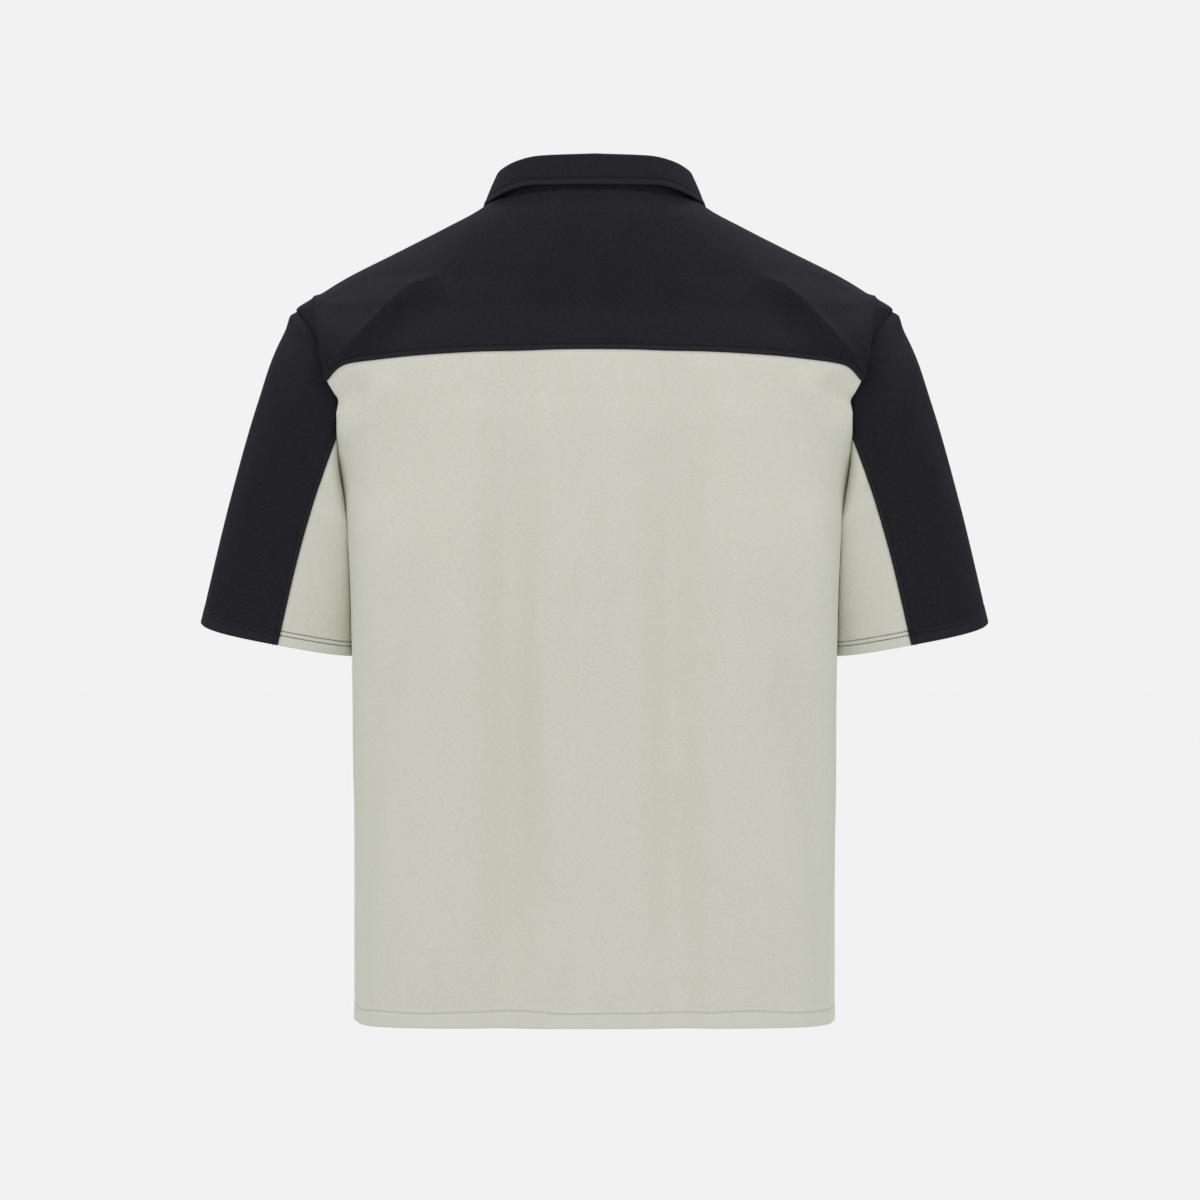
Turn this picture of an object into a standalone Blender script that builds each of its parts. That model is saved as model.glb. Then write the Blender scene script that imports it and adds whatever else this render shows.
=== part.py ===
"""A boxy two-tone polo shirt, filled out as if worn, with every cut piece a thin closed wall.

The shirt's body is a stack of rounded sections, from the hem to the neckline. The sleeves are
lofted from the armholes to the cuffs. The origin is at the middle of the neck, level with the high
end of the shoulders; +Z is up, the wearer faces +Y and the wearer's right is +X. Sizes are in
millimetres until a mesh is made.
"""

import math
from typing import NamedTuple

import bmesh
import bpy
import numpy as np
from mathutils import Matrix, Vector
from mathutils.bvhtree import BVHTree

METRES = 0.001

WALL = 1.2  # body and sleeve cloth
COLLAR_WALL = 1.5
SEAM_GAP = 0.3
UP = np.array([0.0, 0.0, 1.0])
BACK = -1
FRONT = 1

ARMPIT_LEVEL = -250.0
TIP_LEVEL = -92.4  # where the shoulder ends and the sleeve starts
ARMHOLE_DEPTH = 72.0  # from the side line to the armhole's furthest point
CAP_TURN = 0.92  # below 1 the armhole leaves the shoulder tip more squarely
YOKE_ANGLE = 75.0  # where the yoke seam meets the armhole, 0 at the tip and 180 at the armpit
YOKE_CENTRE = {BACK: -130.0, FRONT: -150.0}
SLEEVE_SEAM_ANGLE = 110.0
PLACKET_WIDTH = 32.0
PLACKET_LAP = 1.5  # how far the top strip covers the cloth beside the slit
PLACKET_TAIL = 6.0
BUTTON_LEVELS = (-92.0, -148.0, -204.0)

COLUMNS = 20
HEM_ROWS = (-715.0, -650.0, -575.0, -500.0, -430.0, -370.0, -325.0, -285.0)
ARMHOLE_ROWS = 6
YOKE_ROWS = 5
RIDGE_LEVELS = (-80.0, -62.0, -40.0, -20.0, -8.8, -0.5)
SLEEVE_ROWS = 9
PLACKET_END = ARMPIT_LEVEL + (YOKE_CENTRE[FRONT] - ARMPIT_LEVEL) / ARMHOLE_ROWS


class Ring(NamedTuple):
    """A section of the body; level is its height at the side seam or the shoulder line."""

    level: float
    half_width: float
    back: float  # half depth behind
    front: float  # half depth before
    power: float  # 2 is an ellipse, 4 a well-rounded box
    back_rise: float = 0.0  # how much higher the ring runs at centre back
    front_rise: float = 0.0


RINGS = (
    Ring(-715.0, 211.6, 111.0, 111.0, 4.0),
    Ring(-600.0, 211.6, 111.5, 111.5, 4.0),
    Ring(-450.0, 211.6, 113.0, 113.0, 4.3),
    Ring(-358.0, 212.6, 115.0, 116.0, 5.2),
    Ring(-318.0, 214.0, 116.0, 117.5, 5.4),
    Ring(-279.0, 217.3, 116.5, 118.5, 4.8),
    Ring(-250.0, 221.0, 116.5, 118.5, 4.0),
    Ring(-198.0, 234.0, 116.0, 117.0, 3.3),
    Ring(-169.0, 241.0, 114.0, 114.5, 3.2),
    Ring(-130.0, 250.0, 109.0, 108.5, 3.2),
    Ring(-92.4, 262.8, 98.0, 99.0, 2.3),
    Ring(-78.3, 242.5, 96.0, 97.5, 2.1, 0.5, -9.7),
    Ring(-64.2, 220.0, 94.0, 96.0, 1.9, 2.0, -20.5),
    Ring(-42.0, 175.5, 90.0, 93.5, 1.9, 4.5, -38.5),
    Ring(-19.4, 129.5, 83.5, 90.5, 2.0, 8.0, -57.5),
    Ring(-8.8, 107.5, 77.0, 88.5, 2.1, 10.0, -66.5),
    Ring(-0.5, 94.0, 74.0, 86.0, 2.2, 11.2, -73.5),
)


class Fold(NamedTuple):
    """A soft hanging fold: depth is outwards, and negative for a trough."""

    x: float
    half_width: float
    top: float
    bottom: float
    depth: float


FOLDS = {
    BACK: (
        Fold(-122.0, 34.0, -170.0, -700.0, 2.5),
        Fold(-73.0, 26.0, -175.0, -690.0, -9.0),
        Fold(-38.0, 26.0, -190.0, -690.0, 2.0),
        Fold(32.0, 26.0, -190.0, -680.0, 2.0),
        Fold(66.0, 26.0, -170.0, -690.0, -8.5),
        Fold(126.0, 34.0, -180.0, -700.0, 2.5),
    ),
    FRONT: (
        Fold(-118.0, 30.0, -190.0, -690.0, -3.5),
        Fold(-66.0, 30.0, -210.0, -700.0, 2.5),
        Fold(74.0, 30.0, -200.0, -680.0, 2.5),
        Fold(127.0, 30.0, -185.0, -690.0, -3.5),
    ),
}


class SleeveRing(NamedTuple):
    """A section of the left sleeve, through an outer and an inner point."""

    outer_x: float
    outer_z: float
    inner_x: float
    inner_z: float
    half_depth: float
    centre_y: float
    lean: float  # how much lower the back of the ring lies
    power: float  # of the outer half; 2 is an ellipse, 4 a well-rounded box
    inner_power: float  # of the half that lies against the body
    seam: float  # where the seams lie, 0 at the outer point and 180 at the inner


SLEEVE_RINGS = (
    SleeveRing(-277.9, -121.5, -219.4, -276.0, 79.0, 1.0, 0.0, 2.3, 4.0, 114.5),
    SleeveRing(-295.5, -171.0, -216.2, -304.0, 79.0, 4.0, 1.0, 2.8, 5.0, 107.5),
    SleeveRing(-320.5, -257.0, -213.9, -347.0, 70.0, 9.0, 3.0, 3.0, 6.0, 99.5),
    SleeveRing(-346.9, -364.0, -213.1, -392.0, 59.0, 15.0, 7.5, 3.0, 6.0, 91.5),
)


class CollarStation(NamedTuple):
    """The leaf's fold and edge at an angle from centre back; x is taken on the +X side."""

    angle: float
    fold_radius_x: float
    fold_y: float
    fold_z: float
    edge_x: float
    edge_y: float
    edge_z: float


COLLAR_STATIONS = (
    CollarStation(0.0, 0.0, -68.0, 41.6, 0.0, -78.0, 14.4),
    CollarStation(35.0, 47.0, -57.5, 40.6, 54.2, -67.2, 14.4),
    CollarStation(65.0, 75.0, -32.0, 34.3, 88.0, -40.5, 5.2),
    CollarStation(90.0, 84.0, 0.0, 27.0, 98.0, 4.0, -2.0),
    CollarStation(120.0, 74.0, 40.0, 4.0, 97.0, 56.0, -34.0),
    CollarStation(150.0, 44.0, 72.0, -26.0, 82.0, 92.0, -72.0),
    CollarStation(170.0, 9.0, 83.5, -47.0, 60.0, 112.0, -106.0),
    CollarStation(180.0, 0.5, 84.0, -49.0, 52.0, 114.0, -108.0),
)
COLLAR_OPENING = 1.0  # between the stand's ends at centre front
LEAF_ROLL = 3.0
LEAF_ROLL_STEPS = 3
LEAF_REST = 2.2  # clearance over the yokes
LEAF_BELLY = 0.5

BUTTON_RADIUS = 5.5
BUTTON_THICKNESS = 2.6
BUTTON_HOLE_RADIUS = 0.9
BUTTON_HOLE_PITCH = 3.0

BLACK = (0.018, 0.017, 0.021, 1.0)
CREAM = (0.58, 0.58, 0.50, 1.0)
BUTTON_BLACK = (0.012, 0.012, 0.014, 1.0)


# ---------------------------------------------------------------- sections


def smooth(knots, values, at):
    """Monotone cubic through rising knots, read at an array of places."""
    knots = np.asarray(knots, float)
    values = np.asarray(values, float)
    step = np.diff(knots)
    slope = np.diff(values) / step
    tangent = np.zeros(len(knots))
    tangent[0] = slope[0]
    tangent[-1] = slope[-1]
    same_way = slope[:-1] * slope[1:] > 0
    harmonic = 2 * slope[:-1] * slope[1:] / np.where(same_way, slope[:-1] + slope[1:], 1)
    tangent[1:-1] = np.where(same_way, harmonic, 0)
    at = np.clip(at, knots[0], knots[-1])
    i = np.clip(np.searchsorted(knots, at) - 1, 0, len(step) - 1)
    h = step[i]
    t = (at - knots[i]) / h
    rise = values[i + 1] - values[i]
    cubic = (tangent[i] + tangent[i + 1]) * h - 2 * rise
    square = 3 * rise - (2 * tangent[i] + tangent[i + 1]) * h
    return values[i] + t * (tangent[i] * h + t * (square + t * cubic))


def ring_value(name, level):
    """One column of the ring table at any level."""
    return smooth([r.level for r in RINGS], [getattr(r, name) for r in RINGS], level)


def even_shares():
    """Angles round a typical half section, and the share of its length that each has reached."""
    angle = np.linspace(0, math.pi, 721)
    radius = (abs(np.cos(angle)) ** 3.5 + abs(np.sin(angle)) ** 3.5) ** (-1 / 3.5)
    x = 215 * radius * np.cos(angle)
    y = 115 * radius * np.sin(angle)
    length = np.concatenate([[0], np.cumsum(np.hypot(np.diff(x), np.diff(y)))])
    return angle, 1 - 2 * length / length[-1]


ANGLES, SHARES = even_shares()


def base_point(side, share, level):
    """A point of the unfolded body; share runs from -1 at the left side to 1 at the right."""
    share = np.asarray(share, float)
    level = np.asarray(level, float)
    angle = np.interp(-share, -SHARES, ANGLES)
    power = ring_value("power", level)
    radius = (abs(np.cos(angle)) ** power + abs(np.sin(angle)) ** power) ** (-1 / power)
    depth = ring_value("back" if side == BACK else "front", level)
    rise = ring_value("back_rise" if side == BACK else "front_rise", level)
    x = ring_value("half_width", level) * radius * np.cos(angle)
    y = side * depth * radius * np.sin(angle)
    z = level + rise * np.sin(angle)
    return np.stack(np.broadcast_arrays(x, y, z), axis=-1)


def unit(vectors):
    return vectors / np.linalg.norm(vectors, axis=-1, keepdims=True)


def surface_normal(surface, side, share, level):
    """The outward normal of a surface function, from small steps along it."""
    level = np.asarray(level, float)
    share = np.asarray(share, float)
    low = np.clip(share - 0.01, -1, 1)
    high = np.clip(share + 0.01, -1, 1)
    across = surface(side, high, level) - surface(side, low, level)
    up = surface(side, share, level + 1.0) - surface(side, share, level - 1.0)
    at_end = abs(share) > 0.985  # there the section runs straight forwards or back
    across[at_end] = -side * np.sign(share[at_end])[:, None] * np.array([0.0, 1.0, 0.0])
    return unit(np.cross(across, up) * -side)


def fold_height(side, x, z):
    """How far the hanging folds carry the cloth outwards."""
    total = np.zeros(np.shape(x))
    for fold in FOLDS[side]:
        run = np.clip((z - fold.bottom) / (fold.top - fold.bottom), 0, 1)
        along = np.sin(math.pi * run) ** 0.6
        total += fold.depth * along * np.exp(-(((x - fold.x) / fold.half_width) ** 2))
    return total


def body_point(side, share, level):
    """A point of the body cloth, folds and all."""
    base = base_point(side, share, level)
    normal = surface_normal(base_point, side, share, level)
    fade = np.clip((1 - abs(np.asarray(share, float))) / 0.2, 0, 1)
    height = fold_height(side, base[..., 0], base[..., 2]) * fade
    return base + normal * height[..., None]


def armhole_share(level, angle):
    """Where on a body section the armhole lies, as a share, on the right side."""
    turn = CAP_TURN if angle < 90 else 1.0
    depth = ARMHOLE_DEPTH * max(math.sin(math.radians(angle)), 0.0) ** turn
    power = ring_value("power", level)
    y = depth / ring_value("back", level)
    x = (1 - y**power) ** (1 / power)
    return float(np.interp(math.atan2(y, x), ANGLES, SHARES))


def share_at_x(level, x):
    """The share of a section at which it has gone a distance sideways from the centre."""
    power = ring_value("power", level)
    across = x / ring_value("half_width", level)
    out = (1 - across**power) ** (1 / power)
    return np.interp(np.arctan2(out, across), ANGLES, SHARES)


def armhole_level(angle):
    """The armhole's height at an angle from the shoulder tip."""
    middle = (TIP_LEVEL + ARMPIT_LEVEL) / 2
    return middle + (TIP_LEVEL - ARMPIT_LEVEL) / 2 * math.cos(math.radians(angle))


# ---------------------------------------------------------------- grids of cloth


def row_of_body(side, centre_level, end_level, end_share):
    """Share and level along a row that dips gently, then turns towards its end on the armhole.

    On the front, the columns beside the middle one run along the placket's edges.
    """
    across = np.linspace(-1, 1, COLUMNS + 1)
    bend = 0.62 * across**2 + 0.38 * abs(across) ** 16
    level = centre_level + (end_level - centre_level) * bend
    share = across * end_share
    if side == FRONT:
        middle = COLUMNS // 2
        beside = share_at_x(level[middle], PLACKET_WIDTH / 2)
        share[[middle - 1, middle + 1]] = (-beside, beside)
    return np.stack([share, level], axis=-1)


def armhole_rows(side, angles, centre_levels):
    rows = []
    for angle, centre in zip(angles, centre_levels):
        end = armhole_level(angle)
        rows.append(row_of_body(side, centre, end, armhole_share(end, angle)))
    return rows


def panel_rows(side):
    """Share and level of each grid point of the panel, from the hem to the yoke seam."""
    rows = [row_of_body(side, level, level, 1.0) for level in HEM_ROWS]
    angles = np.linspace(180, YOKE_ANGLE, ARMHOLE_ROWS + 1)
    centres = np.linspace(ARMPIT_LEVEL, YOKE_CENTRE[side], ARMHOLE_ROWS + 1)
    return np.array(rows + armhole_rows(side, angles, centres))


def yoke_rows(side):
    """Share and level of each grid point of the yoke, from its seam to the neckline."""
    angles = np.linspace(YOKE_ANGLE, 0, YOKE_ROWS + 1)
    centres = np.linspace(YOKE_CENTRE[side], TIP_LEVEL - 6, YOKE_ROWS + 1)
    rows = armhole_rows(side, angles, centres)
    rows += [row_of_body(side, level, level, 1.0) for level in RIDGE_LEVELS]
    return np.array(rows)


def body_grid(side, rows):
    """Points and normals of the grid, each row running from left to right."""
    points = body_point(side, rows[..., 0], rows[..., 1])
    return points, surface_normal(body_point, side, rows[..., 0], rows[..., 1])


def border_inset(points, normals, distance):
    """Draws the four borders of a grid in, square to each border and within the cloth."""
    moved = points.copy()
    for border, inner in ((0, 1), (-1, -2)):
        for turn in (False, True):
            p = points.transpose(1, 0, 2) if turn else points
            n = normals.transpose(1, 0, 2) if turn else normals
            m = moved.transpose(1, 0, 2) if turn else moved
            inwards = unit(np.cross(n[border], np.gradient(p[border], axis=0)))
            sign = np.sign(np.sum(inwards * (p[inner] - p[border]), axis=-1, keepdims=True))
            m[border] += inwards * sign * distance
    return moved


# ---------------------------------------------------------------- objects


def material(name, colour, roughness):
    made = bpy.data.materials.new(name)
    made.use_nodes = True
    shader = made.node_tree.nodes["Principled BSDF"]
    shader.inputs["Base Color"].default_value = colour
    shader.inputs["Roughness"].default_value = roughness
    shader.inputs["Metallic"].default_value = 0.0
    made.diffuse_color = colour
    return made


def add_mesh(name, points, faces, finish, collection):
    """An object from points in millimetres."""
    mesh = bpy.data.meshes.new(name)
    mesh.from_pydata([tuple(p * METRES) for p in points], [], faces)
    mesh.materials.append(finish)
    mesh.shade_smooth()
    mesh.set_sharp_from_angle(angle=math.radians(40))
    obj = bpy.data.objects.new(name, mesh)
    collection.objects.link(obj)
    return obj


def bulging_halves(points, normal, corners):
    """A cell's two triangles, split along the diagonal that lies further out."""
    a, b, c, d = corners
    bulge = points[a] + points[c] - points[b] - points[d]
    if np.dot(bulge, normal) > 0:
        return [(a, b, c), (a, c, d)]
    return [(b, c, d), (b, d, a)]


def cloth_wall(name, outer, normals, wall, finish, collection, keep=None):
    """A closed wall: a grid of cloth, the same grid moved in by the wall, and faces round the rim.

    keep says which cells of the grid are cloth, for a panel with a slit.
    """
    rows, columns = outer.shape[:2]
    outside = outer.reshape(-1, 3)
    facings = normals.reshape(-1, 3)
    inside = (outer - normals * wall).reshape(-1, 3)
    if keep is None:
        keep = np.ones((rows - 1, columns - 1), bool)
    faces = []
    for i, j in np.argwhere(keep):
        a = int(i * columns + j)
        corners = (a, a + 1, a + columns + 1, a + columns)
        faces += bulging_halves(outside, facings[a], corners)
    first = outside[list(faces[0])]
    facing = np.cross(first[1] - first[0], first[2] - first[0])
    if np.dot(facing, facings[faces[0][0]]) < 0:
        faces = [face[::-1] for face in faces]
    sides = {(f[k], f[(k + 1) % 3]) for f in faces for k in range(3)}
    rim = [(a, b) for a, b in sides if (b, a) not in sides]
    shift = len(outside)
    walls = list(faces)
    walls += [tuple(v + shift for v in face[::-1]) for face in faces]
    walls += [(b, a, a + shift, b + shift) for a, b in sorted(rim)]
    used = sorted({v for face in walls for v in face})
    place = {v: k for k, v in enumerate(used)}
    points = np.concatenate([outside, inside])[used]
    return add_mesh(name, points, [tuple(place[v] for v in f) for f in walls], finish, collection)


# ---------------------------------------------------------------- body


def make_body(finishes, collection):
    """Yokes and panels, back and front. Returns the neckline, from left round the back to right."""
    half_gap = SEAM_GAP / 2
    middle = COLUMNS // 2
    for side, label in ((BACK, "back"), (FRONT, "front")):
        rows = panel_rows(side)
        points, normals = body_grid(side, rows)
        keep = np.ones((len(rows) - 1, COLUMNS), bool)
        if side == FRONT:
            slit = rows[:-1, middle, 1] > PLACKET_END - 1
            keep[slit, middle - 1 : middle + 1] = False
        inset = border_inset(points, normals, half_gap)
        cloth_wall(f"{label}_panel", inset, normals, WALL, finishes["cream"], collection, keep)
    points, normals = body_grid(BACK, yoke_rows(BACK))
    inset = border_inset(points, normals, half_gap)
    cloth_wall("back_yoke", inset, normals, WALL, finishes["black"], collection)
    points, normals = body_grid(FRONT, yoke_rows(FRONT))
    inset = border_inset(points, normals, half_gap)
    halves = {"left": slice(0, middle), "right": slice(middle + 1, None)}
    for label, half in halves.items():
        name = f"front_yoke_{label}"
        cloth_wall(name, inset[:, half], normals[:, half], WALL, finishes["black"], collection)


def dense_body():
    """A search tree over the whole body surface, for what rests on it."""
    shares = np.linspace(-1, 1, 121)
    levels = np.linspace(RINGS[0].level, RINGS[-1].level, 240)
    grid_share, grid_level = np.meshgrid(shares, levels)
    points = []
    faces = []
    for side in (BACK, FRONT):
        start = len(points)
        surface = body_point(side, grid_share, grid_level)
        points += [Vector(p) for p in surface.reshape(-1, 3)]
        for i in range(len(levels) - 1):
            for j in range(len(shares) - 1):
                a = start + i * len(shares) + j
                faces.append((a, a + 1, a + len(shares) + 1, a + len(shares)))
    return BVHTree.FromPolygons(points, faces)


def front_point(tree, x, z):
    """The front surface's point and outward normal at a place seen from the front."""
    place, normal, _, _ = tree.ray_cast(Vector((x, 400, z)), Vector((0, -1, 0)))
    if normal.y < 0:
        normal = -normal
    return np.array(place), np.array(normal)


def held_off(tree, point, clearance):
    """The point, moved out of the body surface to at least a clearance."""
    place, normal, _, _ = tree.find_nearest(Vector(point))
    if normal.dot(Vector((place.x, place.y, 40))) < 0:
        normal = -normal
    height = (Vector(point) - place).dot(normal)
    if height >= clearance:
        return np.array(point)
    return np.array(point) + np.array(normal) * (clearance - height)


# ---------------------------------------------------------------- sleeves


def armhole_ring(angles):
    """The left armhole's points and the body's normals there, from the tip round the back."""
    points = []
    normals = []
    for angle in angles:
        side = BACK if angle <= 180 else FRONT
        turn = angle if angle <= 180 else 360 - angle
        level = armhole_level(turn)
        share = np.array([-armhole_share(level, turn)])
        points.append(body_point(side, share, np.array([level]))[0])
        normals.append(surface_normal(body_point, side, share, np.array([level]))[0])
    return np.array(points), np.array(normals)


def sleeve_angles():
    """Angles round the armhole where the body's rows end, so that both edges match."""
    lower = np.linspace(180, YOKE_ANGLE, ARMHOLE_ROWS + 1)
    upper = np.linspace(YOKE_ANGLE, 0, YOKE_ROWS + 1)[1:]
    back = np.concatenate([lower, upper])[::-1]
    return np.concatenate([back, 360 - back[-2::-1]])


def sleeve_ring(ring, angles):
    """Points of a sleeve section; the seams move from under the arm to its middle."""
    turn = np.where(angles <= 180, angles, 360 - angles)
    past = (turn - SLEEVE_SEAM_ANGLE) * (180 - ring.seam) / (180 - SLEEVE_SEAM_ANGLE)
    turn = np.where(turn < SLEEVE_SEAM_ANGLE, turn * ring.seam / SLEEVE_SEAM_ANGLE, ring.seam + past)
    cosine, sine = np.cos(np.radians(turn)), np.sin(np.radians(turn))
    power = np.where(cosine > 0, ring.power, ring.inner_power)
    radius = (abs(cosine) ** power + abs(sine) ** power) ** (-1 / power)
    behind = np.where(angles <= 180, 1, -1) * radius * sine
    outer = np.array([ring.outer_x, ring.centre_y, ring.outer_z])
    inner = np.array([ring.inner_x, ring.centre_y, ring.inner_z])
    along = (outer + inner) / 2 + (outer - inner) / 2 * (radius * cosine)[:, None]
    return along + behind[:, None] * np.array([0, -ring.half_depth, -ring.lean])


def sleeve_grid():
    """Points and normals of the whole left sleeve, from the armhole to the cuff."""
    angles = sleeve_angles()
    hole, hole_normals = armhole_ring(angles)
    knots = [0.0, 0.12, 0.32, 0.64, 1.0]
    rings = [hole + hole_normals * SEAM_GAP] + [sleeve_ring(r, angles) for r in SLEEVE_RINGS]
    stack = np.array(rings)
    at = np.linspace(0, 1, SLEEVE_ROWS + 1) ** 1.1
    points = through_rings(knots, stack, at)
    fine = through_rings(knots, stack, np.clip(at + 0.01, 0, 1))
    coarse = through_rings(knots, stack, np.clip(at - 0.01, 0, 1))
    down = fine - coarse
    closed = np.concatenate([points[:, -2:-1], points, points[:, 1:2]], axis=1)
    round_it = (closed[:, 2:] - closed[:, :-2]) / 2
    normals = unit(np.cross(round_it, down))
    centre = points[:, :-1].mean(axis=1, keepdims=True)
    normals *= np.sign(np.sum(normals * (points - centre), axis=-1, keepdims=True))
    leaving = unit(points[1] - points[0])
    ridge = np.clip(-np.sum(leaving * hole_normals, axis=-1, keepdims=True) * 3, 0, 1)
    normals[0] = unit(normals[0] * (1 - ridge) + hole_normals * ridge)
    return points, normals, angles


def through_rings(knots, stack, at):
    """A smooth curve through the same point of every ring, by Catmull-Rom."""
    knots = np.asarray(knots)
    tangents = np.gradient(stack, knots, axis=0)
    i = np.clip(np.searchsorted(knots, at) - 1, 0, len(knots) - 2)
    h = (knots[i + 1] - knots[i])[:, None, None]
    t = (at - knots[i])[:, None, None] / h
    start, end = stack[i], stack[i + 1]
    rise = end - start
    cubic = (tangents[i] + tangents[i + 1]) * h - 2 * rise
    square = 3 * rise - (2 * tangents[i] + tangents[i + 1]) * h
    return start + t * (tangents[i] * h + t * (square + t * cubic))


def make_sleeves(finishes, collection):
    points, normals, angles = sleeve_grid()
    seam = np.flatnonzero(np.isclose(angles, SLEEVE_SEAM_ANGLE, atol=3))[0]
    last = len(angles) - 1
    upper = np.concatenate([np.arange(last - seam, last), np.arange(0, seam + 1)])
    under = np.arange(seam, last - seam + 1)
    for label, mirror in (("left", 1), ("right", -1)):
        flip = np.array([mirror, 1, 1])
        for name, part, finish in (("upper", upper, "black"), ("under", under, "cream")):
            grid = border_inset(points[:, part], normals[:, part], SEAM_GAP / 2)
            cloth_wall(
                f"sleeve_{name}_{label}",
                grid * flip,
                normals[:, part] * flip,
                WALL,
                finishes[finish],
                collection,
            )


# ---------------------------------------------------------------- collar


def collar_station(angle):
    """Fold and edge points at angles from centre back, with a sign for the left side."""
    turn = abs(angle)
    way = np.sign(angle)
    knots = [s.angle for s in COLLAR_STATIONS]

    def read(name):
        return smooth(knots, [getattr(s, name) for s in COLLAR_STATIONS], turn)

    fold = np.stack([way * read("fold_radius_x"), read("fold_y"), read("fold_z")], axis=-1)
    edge = np.stack([way * read("edge_x"), read("edge_y"), read("edge_z")], axis=-1)
    return fold, edge


def neckline():
    """The yokes' top edge, from centre front on the left round the back to the right.

    The first and last points carry it on over the placket, nearly to the centre line.
    """
    back = body_grid(BACK, yoke_rows(BACK)[-1:])[0][0]
    front_row = yoke_rows(FRONT)[-1]
    middle = COLUMNS // 2
    near = share_at_x(RINGS[-1].level, COLLAR_OPENING / 2)
    left = np.concatenate([front_row[:middle], [[-near, RINGS[-1].level]]])
    right = np.concatenate([[[near, RINGS[-1].level]], front_row[middle + 1 :]])
    left = body_point(FRONT, left[:, 0], left[:, 1])[::-1]
    right = body_point(FRONT, right[:, 0], right[:, 1])[::-1]
    return np.concatenate([left[:-1], back, right[1:]])


def neck_angles():
    """Angles of the neckline's points from centre back, shared by the stand and the leaf."""
    seam = neckline()
    return np.degrees(np.arctan2(seam[:, 0], -seam[:, 1]))


def away_from_neck(angle):
    turn = np.radians(angle)
    return np.stack([np.sin(turn), -np.cos(turn), 0 * turn], axis=-1)


def make_stand(finishes, collection):
    """The stand, from the neckline up to just under the leaf's roll."""
    angle = neck_angles()
    fold, _ = collar_station(angle)
    outwards = away_from_neck(angle)
    seam = neckline() + UP * SEAM_GAP
    top = fold - outwards * (LEAF_ROLL - COLLAR_WALL) - UP * (LEAF_ROLL + SEAM_GAP)
    grid = np.array([seam, (seam + top) / 2, top])
    normals = np.array([outwards] * 3)
    cloth_wall("collar_stand", grid, normals, COLLAR_WALL, finishes["black"], collection)


def leaf_grid(angle, roll_steps, fall_steps):
    """The leaf's outer face and normals: up from the stand, over the roll and down to its edge."""
    fold, edge = collar_station(angle)
    outwards = away_from_neck(angle)
    rows = []
    normals = []
    for turn in np.linspace(180, 35, roll_steps + 1):
        sweep = math.radians(turn)
        normals.append(outwards * math.cos(sweep) + UP * math.sin(sweep))
        rows.append(fold - UP * LEAF_ROLL + normals[-1] * LEAF_ROLL)
    start = rows[-1]
    for share in np.linspace(0, 1, fall_steps + 1)[1:]:
        belly = outwards * LEAF_BELLY * math.sin(math.pi * share)
        rows.append(start + (edge - start) * share + belly)
    return np.array(rows), np.array(normals)


def grid_normals(points):
    """Normals of a free grid, from its own rows and columns."""
    across = np.gradient(points, axis=1)
    down = np.gradient(points, axis=0)
    return unit(np.cross(across, down))


def make_leaf(tree, finishes, collection):
    angle = neck_angles()[1:-1]
    points, roll_normals = leaf_grid(angle, LEAF_ROLL_STEPS, 4)
    clearance = COLLAR_WALL + LEAF_REST
    for row in points[LEAF_ROLL_STEPS + 1 :]:
        for k in range(len(row)):
            row[k] = held_off(tree, row[k], clearance)
    normals = grid_normals(points)
    normals *= np.sign(np.sum(normals * away_from_neck(angle), axis=-1, keepdims=True)[-1:])
    normals[: LEAF_ROLL_STEPS + 1] = roll_normals
    cloth_wall("collar_leaf", points, normals, COLLAR_WALL, finishes["black"], collection)


# ---------------------------------------------------------------- placket and buttons


def placket_strip(half_width, out, tail):
    """A strip down the front's middle, on the panels' own rows, moved out by a distance.

    tail is how far the strip runs past the end of the slit.
    """
    levels = [row[COLUMNS // 2, 1] for row in (*panel_rows(FRONT)[:-1], *yoke_rows(FRONT))]
    levels = [level for level in levels if level > PLACKET_END + 1]
    levels = np.array([PLACKET_END - tail, *levels])
    half = share_at_x(levels, half_width)
    share = np.stack([-half, 0 * half, half], axis=1)
    level = np.repeat(levels[:, None], 3, axis=1)
    normals = surface_normal(body_point, FRONT, share, level)
    return body_point(FRONT, share, level) + normals * out, normals


def make_placket(finishes, collection):
    """The under strip fills the slit; the top strip lies over it and over the slit's edges."""
    under = placket_strip(PLACKET_WIDTH / 2 - SEAM_GAP, 0.0, -SEAM_GAP)
    top = placket_strip(PLACKET_WIDTH / 2 + PLACKET_LAP, WALL + SEAM_GAP, PLACKET_TAIL)
    for name, (points, normals) in (("placket_under", under), ("placket_top", top)):
        cloth_wall(name, points, normals, WALL, finishes["black"], collection)


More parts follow.
